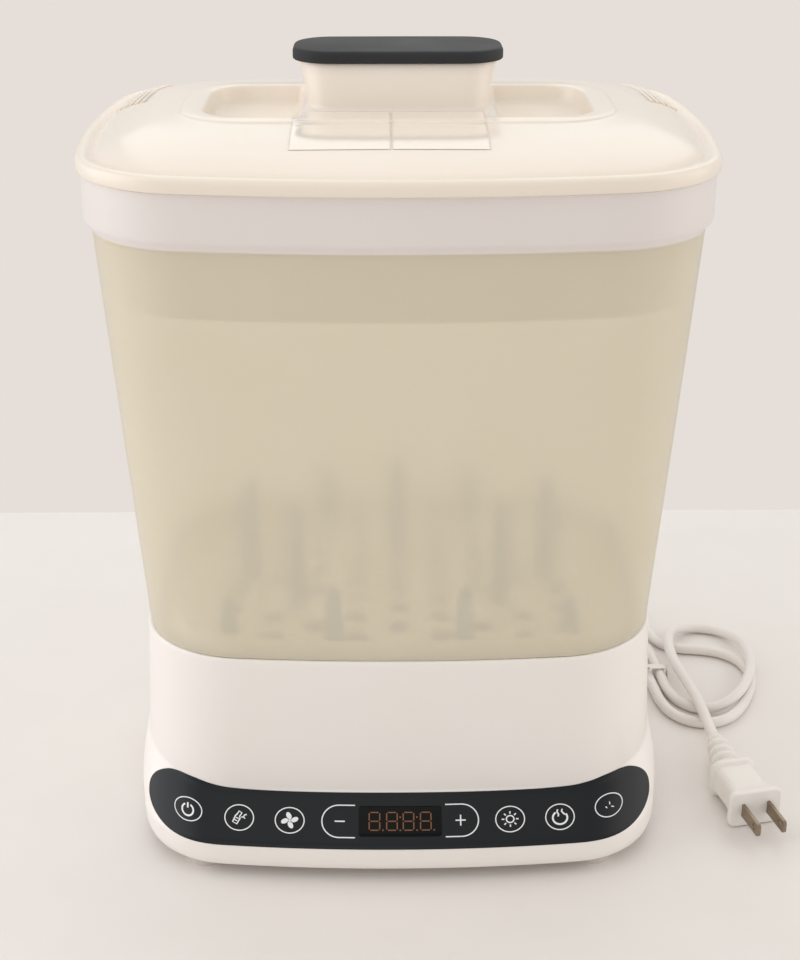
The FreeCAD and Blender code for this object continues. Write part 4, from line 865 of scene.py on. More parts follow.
# ------------------------------------------------------------------ geometry node trees
class Tree:
    """A geometry node tree with named inputs, which makes the pieces that repeat."""

    def __init__(self, name: str, sizes: dict[str, float]) -> None:
        """Opens a tree.

        Args:
            name: The tree's name.
            sizes: Its named inputs and their values in millimetres.
        """
        self.group = bpy.data.node_groups.new(name, "GeometryNodeTree")
        face = self.group.interface
        for way in ("INPUT", "OUTPUT"):
            face.new_socket("Geometry", in_out=way, socket_type="NodeSocketGeometry")
        self.values = {
            face.new_socket(key, in_out="INPUT", socket_type="NodeSocketFloat").identifier: size * MM
            for key, size in sizes.items()}
        self.given = add_node(self.group, "NodeGroupInput").outputs

    def on_points(self, instance: bpy.types.NodeSocket, **feeds: object) -> bpy.types.NodeSocket:
        """Puts an instance on each point of the seed, or of other points that are named."""
        feeds = {"Points": self.given["Geometry"], "Instance": instance, **feeds}
        return add_node(self.group, "GeometryNodeInstanceOnPoints", feeds).outputs["Instances"]

    def bake(self, seed: Shape, name: str, finish: str, result: bpy.types.NodeSocket,
             **marks: list[float]) -> bpy.types.Object:
        """Ends the tree, runs it on a seed mesh and keeps the plain mesh.

        Args:
            seed: The points or the line that the tree works on.
            name: The piece's name.
            finish: The name of its finish.
            result: The socket with the made geometry.
            marks: Named values for each of the seed's points.

        Returns:
            The piece.
        """
        real = add_node(self.group, "GeometryNodeRealizeInstances", {"Geometry": result})
        painted = add_node(self.group, "GeometryNodeSetMaterial", {
            "Geometry": real.outputs["Geometry"], "Material": PAINT[finish]})
        add_node(self.group, "NodeGroupOutput", {"Geometry": painted.outputs["Geometry"]})
        mesh = seed.mesh(name)
        for key, values in marks.items():
            mesh.attributes.new(key, "FLOAT", "POINT").data.foreach_set("value", values)
        piece = placed(name, mesh)
        maker = piece.modifiers.new("maker", "NODES")
        maker.node_group = self.group
        for key, value in self.values.items():
            maker[key] = value
        shaded(settled(piece).data)
        return piece


# ------------------------------------------------------------------ base
@dataclass
class Base:
    """The heated base: its shell, touch panel, window, signs and feet."""

    foot: float = 6.0
    lip_top: float = 18.0
    panel_rise: float = 16.0
    panel_run: float = 20.8
    skirt_top: float = 56.0
    rim_top: float = 100.2
    wall: float = 2.6
    lip_tuck: float = 1.6
    blend: float = 0.8
    # The lip's tuck by share of its height; the skirt's flare and its front corners by rise above the lip.
    tuck: Profile = ((0.0, 1.0), (0.3, 0.3), (0.7, 0.06), (1.0, 0.0))
    flare: Profile = ((0.0, 0.0), (8.0, 1.4), (20.0, 0.56), (38.0, -4.4))
    skirt_corner: Profile = ((0.0, 44.0), (8.0, 44.0), (20.0, 40.0), (38.0, 34.0))
    back_lean: float = 0.25
    back_round: float = 0.2
    # The shell's heights: the foot's edge as rise and inset, the lip, even bands as start, end and step,
    # the rim's edge as drop and inset, and the inner face.
    foot_edge: Profile = ((0.0, 0.5), (0.25, 0.18))
    lip_levels: tuple[float, ...] = (
        6.8, 7.6, 8.6, 9.8, 11.0, 12.5, 14.0, 15.2, 16.2, 16.8, 17.3, 17.7, 18.1, 18.5, 19.0)
    bands: tuple[Point, ...] = (
        (19.8, 33.0, 1.2), (33.2, 42.0, 0.55), (42.5, 58.0, 1.5), (61.0, 99.0, 4.0), (99.3, 99.4, 1.0))
    rim_edge: Profile = ((0.42, 0.12), (0.15, 0.4), (0.0, 0.85), (0.0, 1.75), (0.15, 2.2), (0.42, 2.48))
    inner_levels: tuple[float, ...] = (
        99.0, 91.0, 75.0, 57.0, 48.0, 42.0, 38.0, 34.0, 30.0, 26.0, 22.0, 19.0, 17.0, 12.0, 8.0, 6.0)
    # The front is measured for what is laid on it, this far round and between these heights.
    front_turn: float = 1.75
    front_low: float = 16.0
    front_high: float = 40.0
    front_step: float = 0.5
    # How far along and up the front its slope is felt.
    feel: Flat = (0.6, 0.4)
    panel_low: float = 17.5
    panel_low_half: float = 88.0
    panel_end: Flat = (115.2, 26.4)
    panel_horn: Flat = (99.0, 37.1)
    panel_top: Profile = ((0.0, 33.9), (60.0, 34.0), (77.6, 34.7), (86.7, 35.7), (93.0, 36.7), (99.0, 37.1))
    panel_squareness: float = 2.5
    # The panel's edges are read a hair nearer the middle, so that its ends don't close to a point.
    panel_kept: float = 0.99995
    panel_lift: float = 0.28
    panel_thick: float = 1.5
    panel_soft: float = 0.18
    window_half: Flat = (18.6, 7.1)
    window_corner: float = 1.4
    window_up: float = -0.7
    window_lift: float = 0.33
    window_thick: float = 1.2
    window_soft: float = 0.12
    sign_lift: float = 0.34
    digit_half: Flat = (2.35, 4.1)
    digit_gap: Flat = (0.5, 0.35)
    digit_line: float = 0.55
    digit_lift: float = 0.38
    digits_at: tuple[float, ...] = (-11.5, -3.7, 3.7, 11.4)
    dots_at: Profile = ((-7.7, -4.1), (0.0, 1.9), (0.0, -4.1), (7.5, 1.9), (7.5, -4.1), (15.1, -4.1))
    dot_radius: float = 0.4
    filter_box: tuple[Point, Point] = ((-75.3, 66.0, 39.7), (-14.7, 112.0, 74.3))
    foot_radius: float = 9.0
    foot_tall: float = 6.4
    foot_taper: float = 0.8
    feet: Profile = ((-88.5, -91.5), (88.5, -91.5), (-88.5, 66.0), (88.5, 66.0))

    def __post_init__(self) -> None:
        """Fixes the turns at which the shell's columns stand, from straight ahead."""
        self.turns = np.unwrap([math.atan2(x, -y) for x, y in RIM.outline()])
        self._rows: list[tuple[float, np.ndarray, np.ndarray, np.ndarray]] = []

    def _polar(self, plan: Plan) -> np.ndarray:
        """Reads a plan's reach off a finer outline.

        Args:
            plan: The plan.

        Returns:
            Its distance from the middle at each column.
        """
        x, y = np.array(plan.outline(side=40, corner=44, end=72)).T
        turns = np.arctan2(x, -y)
        order = np.argsort(turns)
        return np.interp(self.turns, turns[order], np.hypot(x, y)[order], period=2 * math.pi)

    def _sharp(self, z: float, inset: float) -> np.ndarray:
        """Gives the shell's reach at a height before its edges are softened.

        Args:
            z: The height.
            inset: How far inside the outer surface.

        Returns:
            The reach at each column.
        """
        z = min(max(z, self.foot), self.rim_top)
        rise = z - self.lip_top
        if rise < 0:
            tuck = curve_through(self.tuck, (z - self.foot) / (self.lip_top - self.foot))
            return self._polar(LIP.shrink(self.lip_tuck * tuck + inset))
        wall = self._polar(FOOT.toward(RIM, (z - self.foot) / (self.rim_top - self.foot)).shrink(inset))
        if z > self.skirt_top:
            return wall
        skirt = replace(
            LIP, half_width=LIP.half_width + curve_through(self.flare, rise),
            front=LIP.front - rise * self.panel_run / self.panel_rise, back=LIP.back - rise * self.back_lean,
            corner=curve_through(self.skirt_corner, rise),
            back_corner=LIP.back_corner + rise * self.back_round)
        stretch = math.hypot(self.panel_run, self.panel_rise) / self.panel_rise
        return np.maximum(wall, self._polar(skirt.shrink(inset, inset * stretch)))

    def reach(self, z: float, inset: float = 0.0) -> np.ndarray:
        """Gives the shell's reach at a height, with its edges softened."""
        shifts = np.linspace(-self.blend, self.blend, 5)
        return np.mean([self._sharp(z + shift, inset) for shift in shifts], axis=0)

    def ring(self, z: float, reach: np.ndarray) -> list[Point]:
        """Turns reaches into a ring of points at a height."""
        return [(r * math.sin(t), -r * math.cos(t), z) for r, t in zip(reach, self.turns)]

    def shell(self) -> None:
        """Builds the housing: wall, flared skirt and lip in one moulding, open below."""
        rings = [self.ring(self.foot + up, self.reach(self.foot + up) - inset)
                 for up, inset in self.foot_edge]
        levels = [*self.lip_levels, *(z for band in self.bands for z in np.arange(*band))]
        rings += [self.ring(z, self.reach(z)) for z in levels]
        top = self.reach(self.rim_top)
        rings += [self.ring(self.rim_top - drop, top - inset) for drop, inset in self.rim_edge]
        rings += [self.ring(z, self.reach(z, self.wall)) for z in self.inner_levels]
        shell = loft(rings + rings[:1]).piece("base_shell", "base_white", 40.0)
        self._open_for_filter(shell)
        fit(shell, "base", "base_white", "base_housing")

    def _open_for_filter(self, shell: bpy.types.Object) -> None:
        """Cuts the filter's opening out of the rear wall.

        Args:
            shell: The housing.
        """
        (x0, y0, z0), (x1, y1, z1) = self.filter_box
        floor = ((x0, y0), (x1, y0), (x1, y1), (x0, y1))
        box = loft([[(x, y, z) for x, y in floor] for z in (z0, z1)], cap_first=True, cap_last=True)
        # The cutter stays flat-shaded, so that the opening's edges stay crisp.
        cutter = placed("cutter", box.mesh("cutter"))
        cut = shell.modifiers.new("opening", "BOOLEAN")
        cut.object, cut.operation, cut.solver = cutter, "DIFFERENCE", "EXACT"
        settled(shell)
        bpy.data.objects.remove(cutter)

    def _read_slope(self) -> None:
        """Measures the front of the shell in rows, for what is laid on it."""
        turns = (self.turns + math.pi) % (2 * math.pi) - math.pi
        order = [i for i in np.argsort(turns) if abs(turns[i]) < self.front_turn]
        for z in np.arange(self.front_low, self.front_high, self.front_step):
            reach = self.reach(z)[order]
            x, y = reach * np.sin(turns[order]), -reach * np.cos(turns[order])
            run = np.concatenate([[0.0], np.cumsum(np.hypot(np.diff(x), np.diff(y)))])
            self._rows.append((z, run - np.interp(0.0, x, run), x, y))

    def _at(self, along: float, z: float, by_run: bool) -> Vector:
        """Gives a point of the shell's front.

        Args:
            along: Its distance along the surface from the middle, or its x.
            z: Its height.
            by_run: Whether along is measured on the surface.

        Returns:
            The point.
        """
        if not self._rows:
            self._read_slope()
        place = min(max((z - self.front_low) / self.front_step, 0.0), len(self._rows) - 1.001)
        low, share = int(place), place - int(place)
        below, above = (
            np.array([np.interp(along, run if by_run else x, side) for side in (x, y)])
            for _, run, x, y in self._rows[low:low + 2])
        return Vector((*(below + (above - below) * share), z))

    def on_front(self, along: float, z: float, lift: float, by_run: bool = True) -> Point:
        """Gives a point a little outside the shell's front.

        Args:
            along: Its distance along the surface from the middle, or its x.
            z: Its height.
            lift: How far outside it is.
            by_run: Whether along is measured on the surface.

        Returns:
            The point.
        """
        here = self._at(along, z, by_run)
        aside, above = self.feel
        across = self._at(along + aside, z, by_run) - self._at(along - aside, z, by_run)
        up = self._at(along, z + above, by_run) - self._at(along, z - above, by_run)
        return tuple(here + across.cross(up).normalized() * lift)

    def _panel_span(self, x: float) -> Flat:
        """Gives the panel's edges at a place across it.

        Args:
            x: The place.

        Returns:
            Its lowest and its highest height there.
        """
        x = min(abs(x), self.panel_end[0])
        end, middle = self.panel_end
        low, high = self.panel_low, curve_through(self.panel_top, x)
        if x > self.panel_low_half:
            share = (x - self.panel_low_half) / (end - self.panel_low_half)
            power = self.panel_squareness
            low = middle - (middle - self.panel_low) * max(1 - share ** power, 0.0) ** (1 / power)
        if x > self.panel_horn[0]:
            share = (x - self.panel_horn[0]) / (end - self.panel_horn[0])
            high = middle + (self.panel_horn[1] - middle) * math.sqrt(max(1 - share ** 2, 0.0))
        return low, max(high, low + WELD)

    def panel(self) -> None:
        """Builds the dark touch panel that wraps round the front."""
        places = [self.panel_end[0] * p for p in crowded(70)]
        spans = [self._panel_span(x * self.panel_kept) for x in places]
        rows = [[self.on_front(x, low + (high - low) * share, self.panel_lift, by_run=False)
                 for x, (low, high) in zip(places, spans)] for share in np.linspace(0.0, 1.0, 17)]
        sheet = grid(rows).piece("touch_panel", "panel_black", 60.0)
        panel = thickened(sheet, self.panel_thick, self.panel_soft)
        fit(panel, "base", "panel_black", "control_panel")

    def _height(self, up: float) -> float:
        """Turns a distance up the slope from its middle into a height."""
        slope = math.atan2(self.panel_rise, self.panel_run)
        return self.lip_top + self.panel_rise / 2 + up * math.sin(slope)

    def window(self) -> None:
        """Builds the smoked window over the display, rounded at its corners."""
        (wide, tall), corner = self.window_half, self.window_corner
        columns = []
        for x in (wide * p for p in crowded(24)):
            over = max(abs(x) - (wide - corner), 0.0)
            columns.append((x, tall - corner + math.sqrt(max(corner ** 2 - over ** 2, 0.0))))
        rows = [[self.on_front(x, self._height(share * half + self.window_up), self.window_lift)
                 for x, half in columns] for share in np.linspace(-1.0, 1.0, 9)]
        sheet = grid(rows).piece("display_window", "lens_smoke", 60.0)
        window = thickened(sheet, self.window_thick, self.window_soft)
        fit(window, "base", "lens_smoke", "display_lens")

    def signs(self) -> None:
        """Builds the printed signs."""
        drawn = Shape()
        book = Signs()
        for key in book.keys:
            start = self._run_at(key.along, self._height(key.up))
            drawn.add(book.draw(key).laid(
                lambda x, y: self.on_front(start + x, self._height(key.up + y), self.sign_lift)))
        fit(drawn.piece("panel_signs", "sign_grey"), "base", "panel_black")

    def _run_at(self, x: float, z: float) -> float:
        """Turns an x into a distance along the surface.

        Args:
            x: The place.
            z: Its height.

        Returns:
            The distance from the middle.
        """
        self._at(0.0, z, True)
        row = min(self._rows, key=lambda r: abs(r[0] - z))
        return float(np.interp(x, row[2], row[1]))

    def digits(self) -> None:
        """Builds the four dim digits and their points behind the window."""
        ink = Ink()
        (wide, tall), (side_gap, end_gap) = self.digit_half, self.digit_gap
        for middle in self.digits_at:
            left, right = middle - wide, middle + wide
            for y in (tall, 0.0, -tall):
                ink.stroke([(left + side_gap, y), (right - side_gap, y)], self.digit_line)
            for x in (left, right):
                for low in (0.0, -tall):
                    ink.stroke([(x, low + end_gap), (x, low + tall - end_gap)], self.digit_line)
        for spot in self.dots_at:
            ink.spot(oval(spot, self.dot_radius, self.dot_radius, steps=10))
        laid = ink.shape.laid(
            lambda x, y: self.on_front(x, self._height(y + self.window_up), self.digit_lift))
        fit(laid.piece("display_digits", "digit_amber"), "base", "lens_smoke")

    def rubber_feet(self) -> None:
        """Builds the four soft feet from one tapered pad."""
        tree = Tree("feet", {
            "Foot Radius": self.foot_radius, "Foot Height": self.foot_tall, "Taper": self.foot_taper})
        given = tree.given
        sole = add_node(tree.group, "ShaderNodeMath", {0: given["Foot Radius"], 1: given["Taper"]},
                        operation="SUBTRACT")
        pad = add_node(tree.group, "GeometryNodeMeshCone", {
            "Radius Top": given["Foot Radius"], "Radius Bottom": sole.outputs[0],
            "Depth": given["Foot Height"], "Vertices": 48})
        seed = Shape([(x, y, 0.0) for x, y in self.feet])
        feet = tree.bake(seed, "soft_feet", "feet_rubber", tree.on_points(pad.outputs["Mesh"]))
        fit(feet, "base", "feet_rubber", "rubber_feet")

    def make(self) -> None:
        """Builds every piece of the base."""
        for build in (self.shell, self.panel, self.window, self.signs, self.digits, self.rubber_feet):
            build()


# ------------------------------------------------------------------ tub and pegs
@dataclass
class Tub:
    """The frosted tub with its collar, and the pegs of the rack inside it."""

    deck: float = 91.0
    rim_top: float = 100.2
    neck: float = 286.0
    ledge: float = 293.0
    top: float = 310.0
    wall: float = 2.3
    foot_inset: float = 3.2
    neck_inset: float = 3.0
    edge: float = 0.5
    wall_end: float = 2.0
    milky_from: float = 1.0
    heel_up: float = 2.4
    heel_inset: float = 0.9
    # The heel over the rim as rise and share of the way out, and the collar's foot as rise and inset.
    heel: Profile = ((0.05, 0.0), (0.1, 0.5), (0.25, 0.85), (0.6, 0.95), (1.3, 0.99))
    collar_foot: Profile = (
        (-0.6, 2.95), (0.6, 2.6), (1.7, 1.95), (2.7, 1.2), (3.7, 0.55), (4.6, 0.15), (5.6, 0.0))
    collar_even: float = 9.0
    mouth_round: float = 0.4
    rack_low: float = 97.5
    ledge_thick: float = 2.5
    ledge_wide: float = 8.0
    peg_foot: float = 100.0
    peg_root: float = 4.6
    peg_tip: float = 3.0
    # Each peg's place and height.
    pegs: tuple[Point, ...] = (
        (0.0, 19.0, 50.0), (-70.0, -5.0, 50.0), (70.0, -5.0, 50.0), (-47.0, -33.0, 50.0),
        (47.0, -33.0, 50.0), (-29.0, -74.0, 28.0), (29.0, -74.0, 28.0), (-77.0, -60.0, 16.0),
        (77.0, -60.0, 16.0), (-36.0, 62.0, 28.0), (36.0, 62.0, 28.0), (-80.0, 48.0, 16.0),
        (80.0, 48.0, 16.0))

    def shell(self) -> None:
        """Builds the tub: upright foot, leaning wall, soft step and collar."""
        foot, heel = RIM.shrink(self.foot_inset), RIM.shrink(self.heel_inset)
        neck = COLLAR.shrink(self.neck_inset)
        start = self.rim_top + self.heel_up
        wall = [(self.rim_top + up, foot.toward(heel, share)) for up, share in self.heel]
        wall += [(z, heel.toward(neck, (z - start) / (self.neck - start)))
                 for z in np.linspace(start, self.neck - self.wall_end, 16)]
        levels = [(self.deck, foot.shrink(self.edge)), (self.deck + self.edge, foot), *wall]
        levels += [(self.neck + up, COLLAR.shrink(inset)) for up, inset in self.collar_foot]
        levels += [(self.top - self.collar_even, COLLAR), (self.top - self.edge, COLLAR),
                   (self.top, COLLAR.shrink(self.edge))]
        mouth, throat, soft = COLLAR.shrink(self.wall), neck.shrink(self.wall), self.mouth_round
        levels += [(self.top, mouth.shrink(-soft)), (self.top - self.edge, mouth), (self.ledge + soft, mouth),
                   (self.ledge, mouth.shrink(soft)), (self.ledge, throat.shrink(-soft)),
                   (self.ledge - self.edge, throat), (self.neck, throat)]
        levels += [(z, plan.shrink(self.wall)) for z, plan in reversed(wall)]
        under = self.rack_low - self.ledge_thick
        levels += [(z, foot.shrink(self.wall + reach)) for z, reach in (
            (self.rack_low, 0.0), (self.rack_low, self.ledge_wide), (under, self.ledge_wide),
            (under, 0.0), (self.deck, 0.0))]
        rings = [plan.ring(z) for z, plan in levels]
        shell = loft(rings + rings[:1]).piece("frosted_tub", "tub_clear", 40.0)
        for finish in ("collar_milk", "tub_inside"):
            shell.data.materials.append(PAINT[finish])
        for face in shell.data.polygons:
            inward = face.center.x * face.normal.x + face.center.y * face.normal.y < 0
            high = face.center.z > (self.neck + self.milky_from) * MM
            face.material_index = 1 if high else 2 * int(inward)
        fit(shell, "chamber", "tub_clear", "chamber_shell")

    def rack_pegs(self) -> None:
        """Builds the tapered, round-tipped pegs that stand on the rack."""
        tree = Tree("pegs", {"Foot Radius": self.peg_root, "Tip Radius": self.peg_tip})
        given = tree.given
        tall = add_node(tree.group, "GeometryNodeInputNamedAttribute", {"Name": "tall"}).outputs["Attribute"]
        stem = add_node(tree.group, "GeometryNodeMeshCone", {
            "Radius Top": given["Tip Radius"], "Radius Bottom": given["Foot Radius"], "Depth": 1.0,
            "Vertices": 40})
        size = add_node(tree.group, "ShaderNodeCombineXYZ", {"X": 1.0, "Y": 1.0, "Z": tall})
        stems = tree.on_points(stem.outputs["Mesh"], Scale=size.outputs["Vector"])
        ball = add_node(tree.group, "GeometryNodeMeshUVSphere", {
            "Radius": given["Tip Radius"], "Segments": 40})
        rise = add_node(tree.group, "ShaderNodeCombineXYZ", {"Z": tall})
        tips = add_node(tree.group, "GeometryNodeSetPosition", {
            "Geometry": given["Geometry"], "Offset": rise.outputs["Vector"]})
        balls = tree.on_points(ball.outputs["Mesh"], Points=tips.outputs["Geometry"])
        both = add_node(tree.group, "GeometryNodeJoinGeometry", {"Geometry": [stems, balls]})
        seed = Shape([(x, y, self.peg_foot) for x, y, _ in self.pegs])
        pegs = tree.bake(seed, "bottle_pegs", "peg_grey", both.outputs["Geometry"],
                         tall=[(high - self.peg_tip) * MM for _, _, high in self.pegs])
        fit(pegs, "rack", "peg_grey", "rack_pegs")

    def make(self) -> None:
        """Builds the tub and the pegs."""
        self.shell()
        self.rack_pegs()


# ------------------------------------------------------------------ lid and handle
@dataclass
class Lid:
    """The domed lid with its bead, ring, finger pits, steam slots and blank label film."""

    foot: float = 310.0
    dome_foot: float = 315.0
    dome_rise: float = 10.5
    dome_inset: float = 6.5
    ring_top: float = 326.5
    ring_grow: float = 10.5
    wall: float = 2.4
    under_inset: float = 2.0
    skirt_inset: float = 4.3
    # The bead as rise and inset, the skirt inside the tub as drop and inset, the crown's rise as a share
    # of the way to the ring, and the ring's edge as drop and inset.
    bead: Profile = (
        (0.0, 0.7), (0.25, 0.25), (0.8, 0.0), (4.4, 0.0), (5.3, 0.3), (6.0, 0.95), (6.4, 1.8), (6.5, 2.7),
        (6.35, 3.6), (5.9, 4.5), (5.35, 5.2), (5.05, 5.9))
    skirt: Profile = ((0.0, 0.0), (6.6, 0.0), (7.0, 0.4), (7.0, 1.6), (6.6, 2.0), (0.0, 2.0))
    crown: Profile = (
        (0.0, 0.0), (0.05, 0.15), (0.10, 0.26), (0.2, 0.43), (0.32, 0.58), (0.65, 0.87), (1.0, 1.0))
    crown_shares: tuple[float, ...] = (
        0.0, 0.02, 0.045, 0.07, 0.53, 0.59, 0.65, 0.71, 0.77, 0.83, 0.89, 0.94, 0.98)
    ring_edge: Profile = ((0.95, 0.0), (0.7, 0.25), (0.4, 0.55), (0.15, 1.0), (0.0, 1.7))
    # A finger pit's wall as drop and inset, its ends, and its corners by the handle and away from it, each
    # at the mouth and at its smallest.
    pit_wall: Profile = (
        (0.0, -1.3), (0.12, -0.75), (0.5, -0.25), (1.1, 0.1), (3.0, 0.7), (5.2, 1.5), (6.6, 2.2), (7.5, 3.2),
        (7.9, 4.4), (8.0, 5.8))
    pit_half: Flat = (82.3, 37.4)
    pit_near: float = 41.3
    pit_near_corner: Flat = (4.0, 1.2)
    pit_far_corner: Flat = (19.0, 3.0)
    # The steam slots: their rows and width as shares of the way to the ring, and the columns they span.
    slot_rows: tuple[float, ...] = (0.10, 0.185, 0.27, 0.355, 0.44)
    slot_wide: float = 0.034
    slot_columns: tuple[int, int] = (14, 28)
    rib_shift: float = 0.0255
    rib_lift: float = 0.15
    rib_radius: float = 0.8
    # The label: where its halves start, meet and end, and its front and rear edges.
    film: tuple[float, float, float, float, float] = (-43.5, -3.2, 35.5, -81.0, -28.0)
    film_gap: float = 0.5
    # The painted shade line along the film's edges: its width and its lift.
    film_lift: float = 0.12
    edge_shade_wide: float = 0.4
    edge_shade_lift: float = 0.2
    film_step: float = 3.0

    def __post_init__(self) -> None:
        """Fixes the plans between which the crown rises."""
        self.edge = LID.shrink(self.dome_inset)
        self.ring = PIT.shrink(-self.ring_grow)
        self.shares = sorted({*self.crown_shares, *self.slot_rows,
                              *(row + self.slot_wide for row in self.slot_rows)})

    def _crown(self, share: float) -> float:
        """Gives the crown's height at a share of the way to the ring."""
        return self.dome_foot + self.dome_rise * curve_through(self.crown, share)

    def _dome(self, inset: float) -> list[list[Point]]:
        """Gives the crown's rings, or the same a wall's thickness inside."""
        return [self.edge.toward(self.ring, share).shrink(inset).ring(self._crown(share) - inset)
                for share in self.shares]

    def _pit(self, side: int, inset: float, z: float) -> list[Point]:
        """Gives the outline of a finger pit at a depth.

        Args:
            side: Which pit, -1 or 1.
            inset: How far inside its mouth.
            z: The height.

        Returns:
            The ring of points.
        """
        low, high, deep = self.pit_near + inset, self.pit_half[0] - inset, self.pit_half[1] - inset
        near, far = (max(mouth - inset, least)
                     for mouth, least in (self.pit_near_corner, self.pit_far_corner))
        # Each corner starts a hair past its square turn, so that no two points of the plate line up.
        turns = [0.01, *range(6, 90, 6)]
        points: list[Point] = []
        for x, y, radius, start in (
                (high - far, far - deep, far, -90), (high - far, deep - far, far, 0),
                (low + near, deep - near, near, 90), (low + near, near - deep, near, 180)):
            for turn in (math.radians(start + step) for step in turns):
                points.append((side * (x + radius * math.cos(turn)), y + radius * math.sin(turn), z))
        return points

    def _top(self, inset: float) -> Shape:
        """Builds the crown's upper part: the ring, the plate and the pits in it.

        Args:
            inset: How far inside the outer surface.

        Returns:
            The shape.
        """
        top = self.ring_top - inset
        pits = [[self._pit(side, shift - inset, top - drop) for drop, shift in self.pit_wall]
                for side in (-1, 1)]
        rim = self.ring.shrink(inset)
        edge = [rim.shrink(shift).ring(top - drop) for drop, shift in self.ring_edge]
        loops = [edge[-1], *(pit[0] for pit in pits)]
        faces = tessellate_polygon([[Vector(p) for p in loop] for loop in loops])
        shape = Shape([p for loop in loops for p in loop], [tuple(face) for face in faces])
        for pit in pits:
            shape.add(loft(pit, cap_last=True))
        return shape.add(loft(edge))

    def shell(self) -> None:
        """Builds the lid in one moulding, with real slots through its shoulders."""
        bead = [LID.shrink(inset).ring(self.foot + up) for up, inset in self.bead]
        rim = COLLAR.shrink(self.skirt_inset)
        under = [LID.shrink(self.under_inset).ring(self.foot)]
        under += [rim.shrink(inset).ring(self.foot - down) for down, inset in self.skirt]
        outer, inner = self._dome(0.0), self._dome(self.wall)
        starts = [self.shares.index(share) for share in self.slot_rows]
        first, last = self.slot_columns

        def open_at(row: int, column: int) -> bool:
            """Says whether a face of the crown is part of a slot."""
            return row in starts and any(first <= c < last for c in (column, MIRROR - 1 - column))

        shape = loft([*reversed(under), *bead, outer[0]])
        shape.add(loft(outer, skip=open_at)).add(loft(inner, skip=open_at))
        shape.add(loft([under[-1], inner[0]]))
        for row in starts:
            for columns in self._both_sides():
                loop = [(row, c) for c in columns] + [(row + 1, c) for c in reversed(columns)]
                shape.add(loft([[dome[i][j] for i, j in loop] for dome in (outer, inner)]))
        drop = self.ring_edge[0][0]
        for dome, inset in ((outer, 0.0), (inner, self.wall)):
            shape.add(loft([dome[-1], self.ring.shrink(inset).ring(self.ring_top - inset - drop)]))
            shape.add(self._top(inset))
        self.above = shape.piece("domed_lid", "lid_ivory", 40.0)
        fit(self.above, "lid", "lid_ivory", "lid_shell")

    def _both_sides(self) -> tuple[list[int], list[int]]:
        """Lists the columns of the slots.

        Returns:
            Those on the right shoulder and those on the left.
        """
        first, last = self.slot_columns
        right = list(range(first, last + 1))
        return right, [MIRROR - column for column in right]

    def slot_ribs(self) -> None:
        """Builds the raised ribs beside the steam slots, each swept along its own line."""
        tree = Tree("ribs", {"Rib Radius": self.rib_radius})
        path = add_node(tree.group, "GeometryNodeMeshToCurve", {"Mesh": tree.given["Geometry"]})
        bar = add_node(tree.group, "GeometryNodeCurvePrimitiveCircle", {
            "Radius": tree.given["Rib Radius"], "Resolution": 10})
        swept = add_node(tree.group, "GeometryNodeCurveToMesh", {
            "Curve": path.outputs["Curve"], "Profile Curve": bar.outputs["Curve"], "Fill Caps": True})
        lines = Shape()
        for share in (row - self.rib_shift for row in self.slot_rows):
            ring = self.edge.toward(self.ring, share).ring(self._crown(share) + self.rib_lift)
            for columns in self._both_sides():
                start = len(lines.points)
                lines.points += [ring[column] for column in columns]
                lines.edges += [(i, i + 1) for i in range(start, len(lines.points) - 1)]
        fit(tree.bake(lines, "steam_ribs", "lid_ivory", swept.outputs["Mesh"]), "lid", "lid_ivory")

    def _over(self, x: float, y: float, lift: float) -> Point:
        """Gives the point this far above the lid's top at a place."""
        hit, spot, _, _ = self.above.ray_cast(Vector((x * MM, y * MM, 0.5)), Vector((0.0, 0.0, -1.0)))
        return x, y, (spot.z / MM if hit else self.ring_top) + lift

    def label_film(self) -> None:
        """Builds the two bare halves of the clear film on the crown, with a thin line of painted shade along
        their edges.
        """
        left, middle, right, front, rear = self.film
        sheets, lines = Shape(), Shape()
        for low, high in ((left, middle - self.film_gap), (middle + self.film_gap, right)):
            sheets.add(grid([[self._over(x, y, self.film_lift) for x in np.linspace(low, high, 13)]
                             for y in np.linspace(front, rear, 19)]))
            # Each half's edges get a thin strip of painted shade.
            edge = divided([(low, rear), (low, front), (high, front), (high, rear)], self.film_step)
            lines.add(Ink().stroke(edge, self.edge_shade_wide).shape.laid(
                lambda x, y: self._over(x, y, self.edge_shade_lift)))
        fit(sheets.piece("label_film", "label_film"), "lid", "lid_ivory")
        fit(lines.piece("film_painted_edge_shade", "painted_edge_shade"), "lid", "lid_ivory")

    def make(self) -> None:
        """Builds the lid, its ribs and the film."""
        self.shell()
        self.slot_ribs()
        self.label_film()


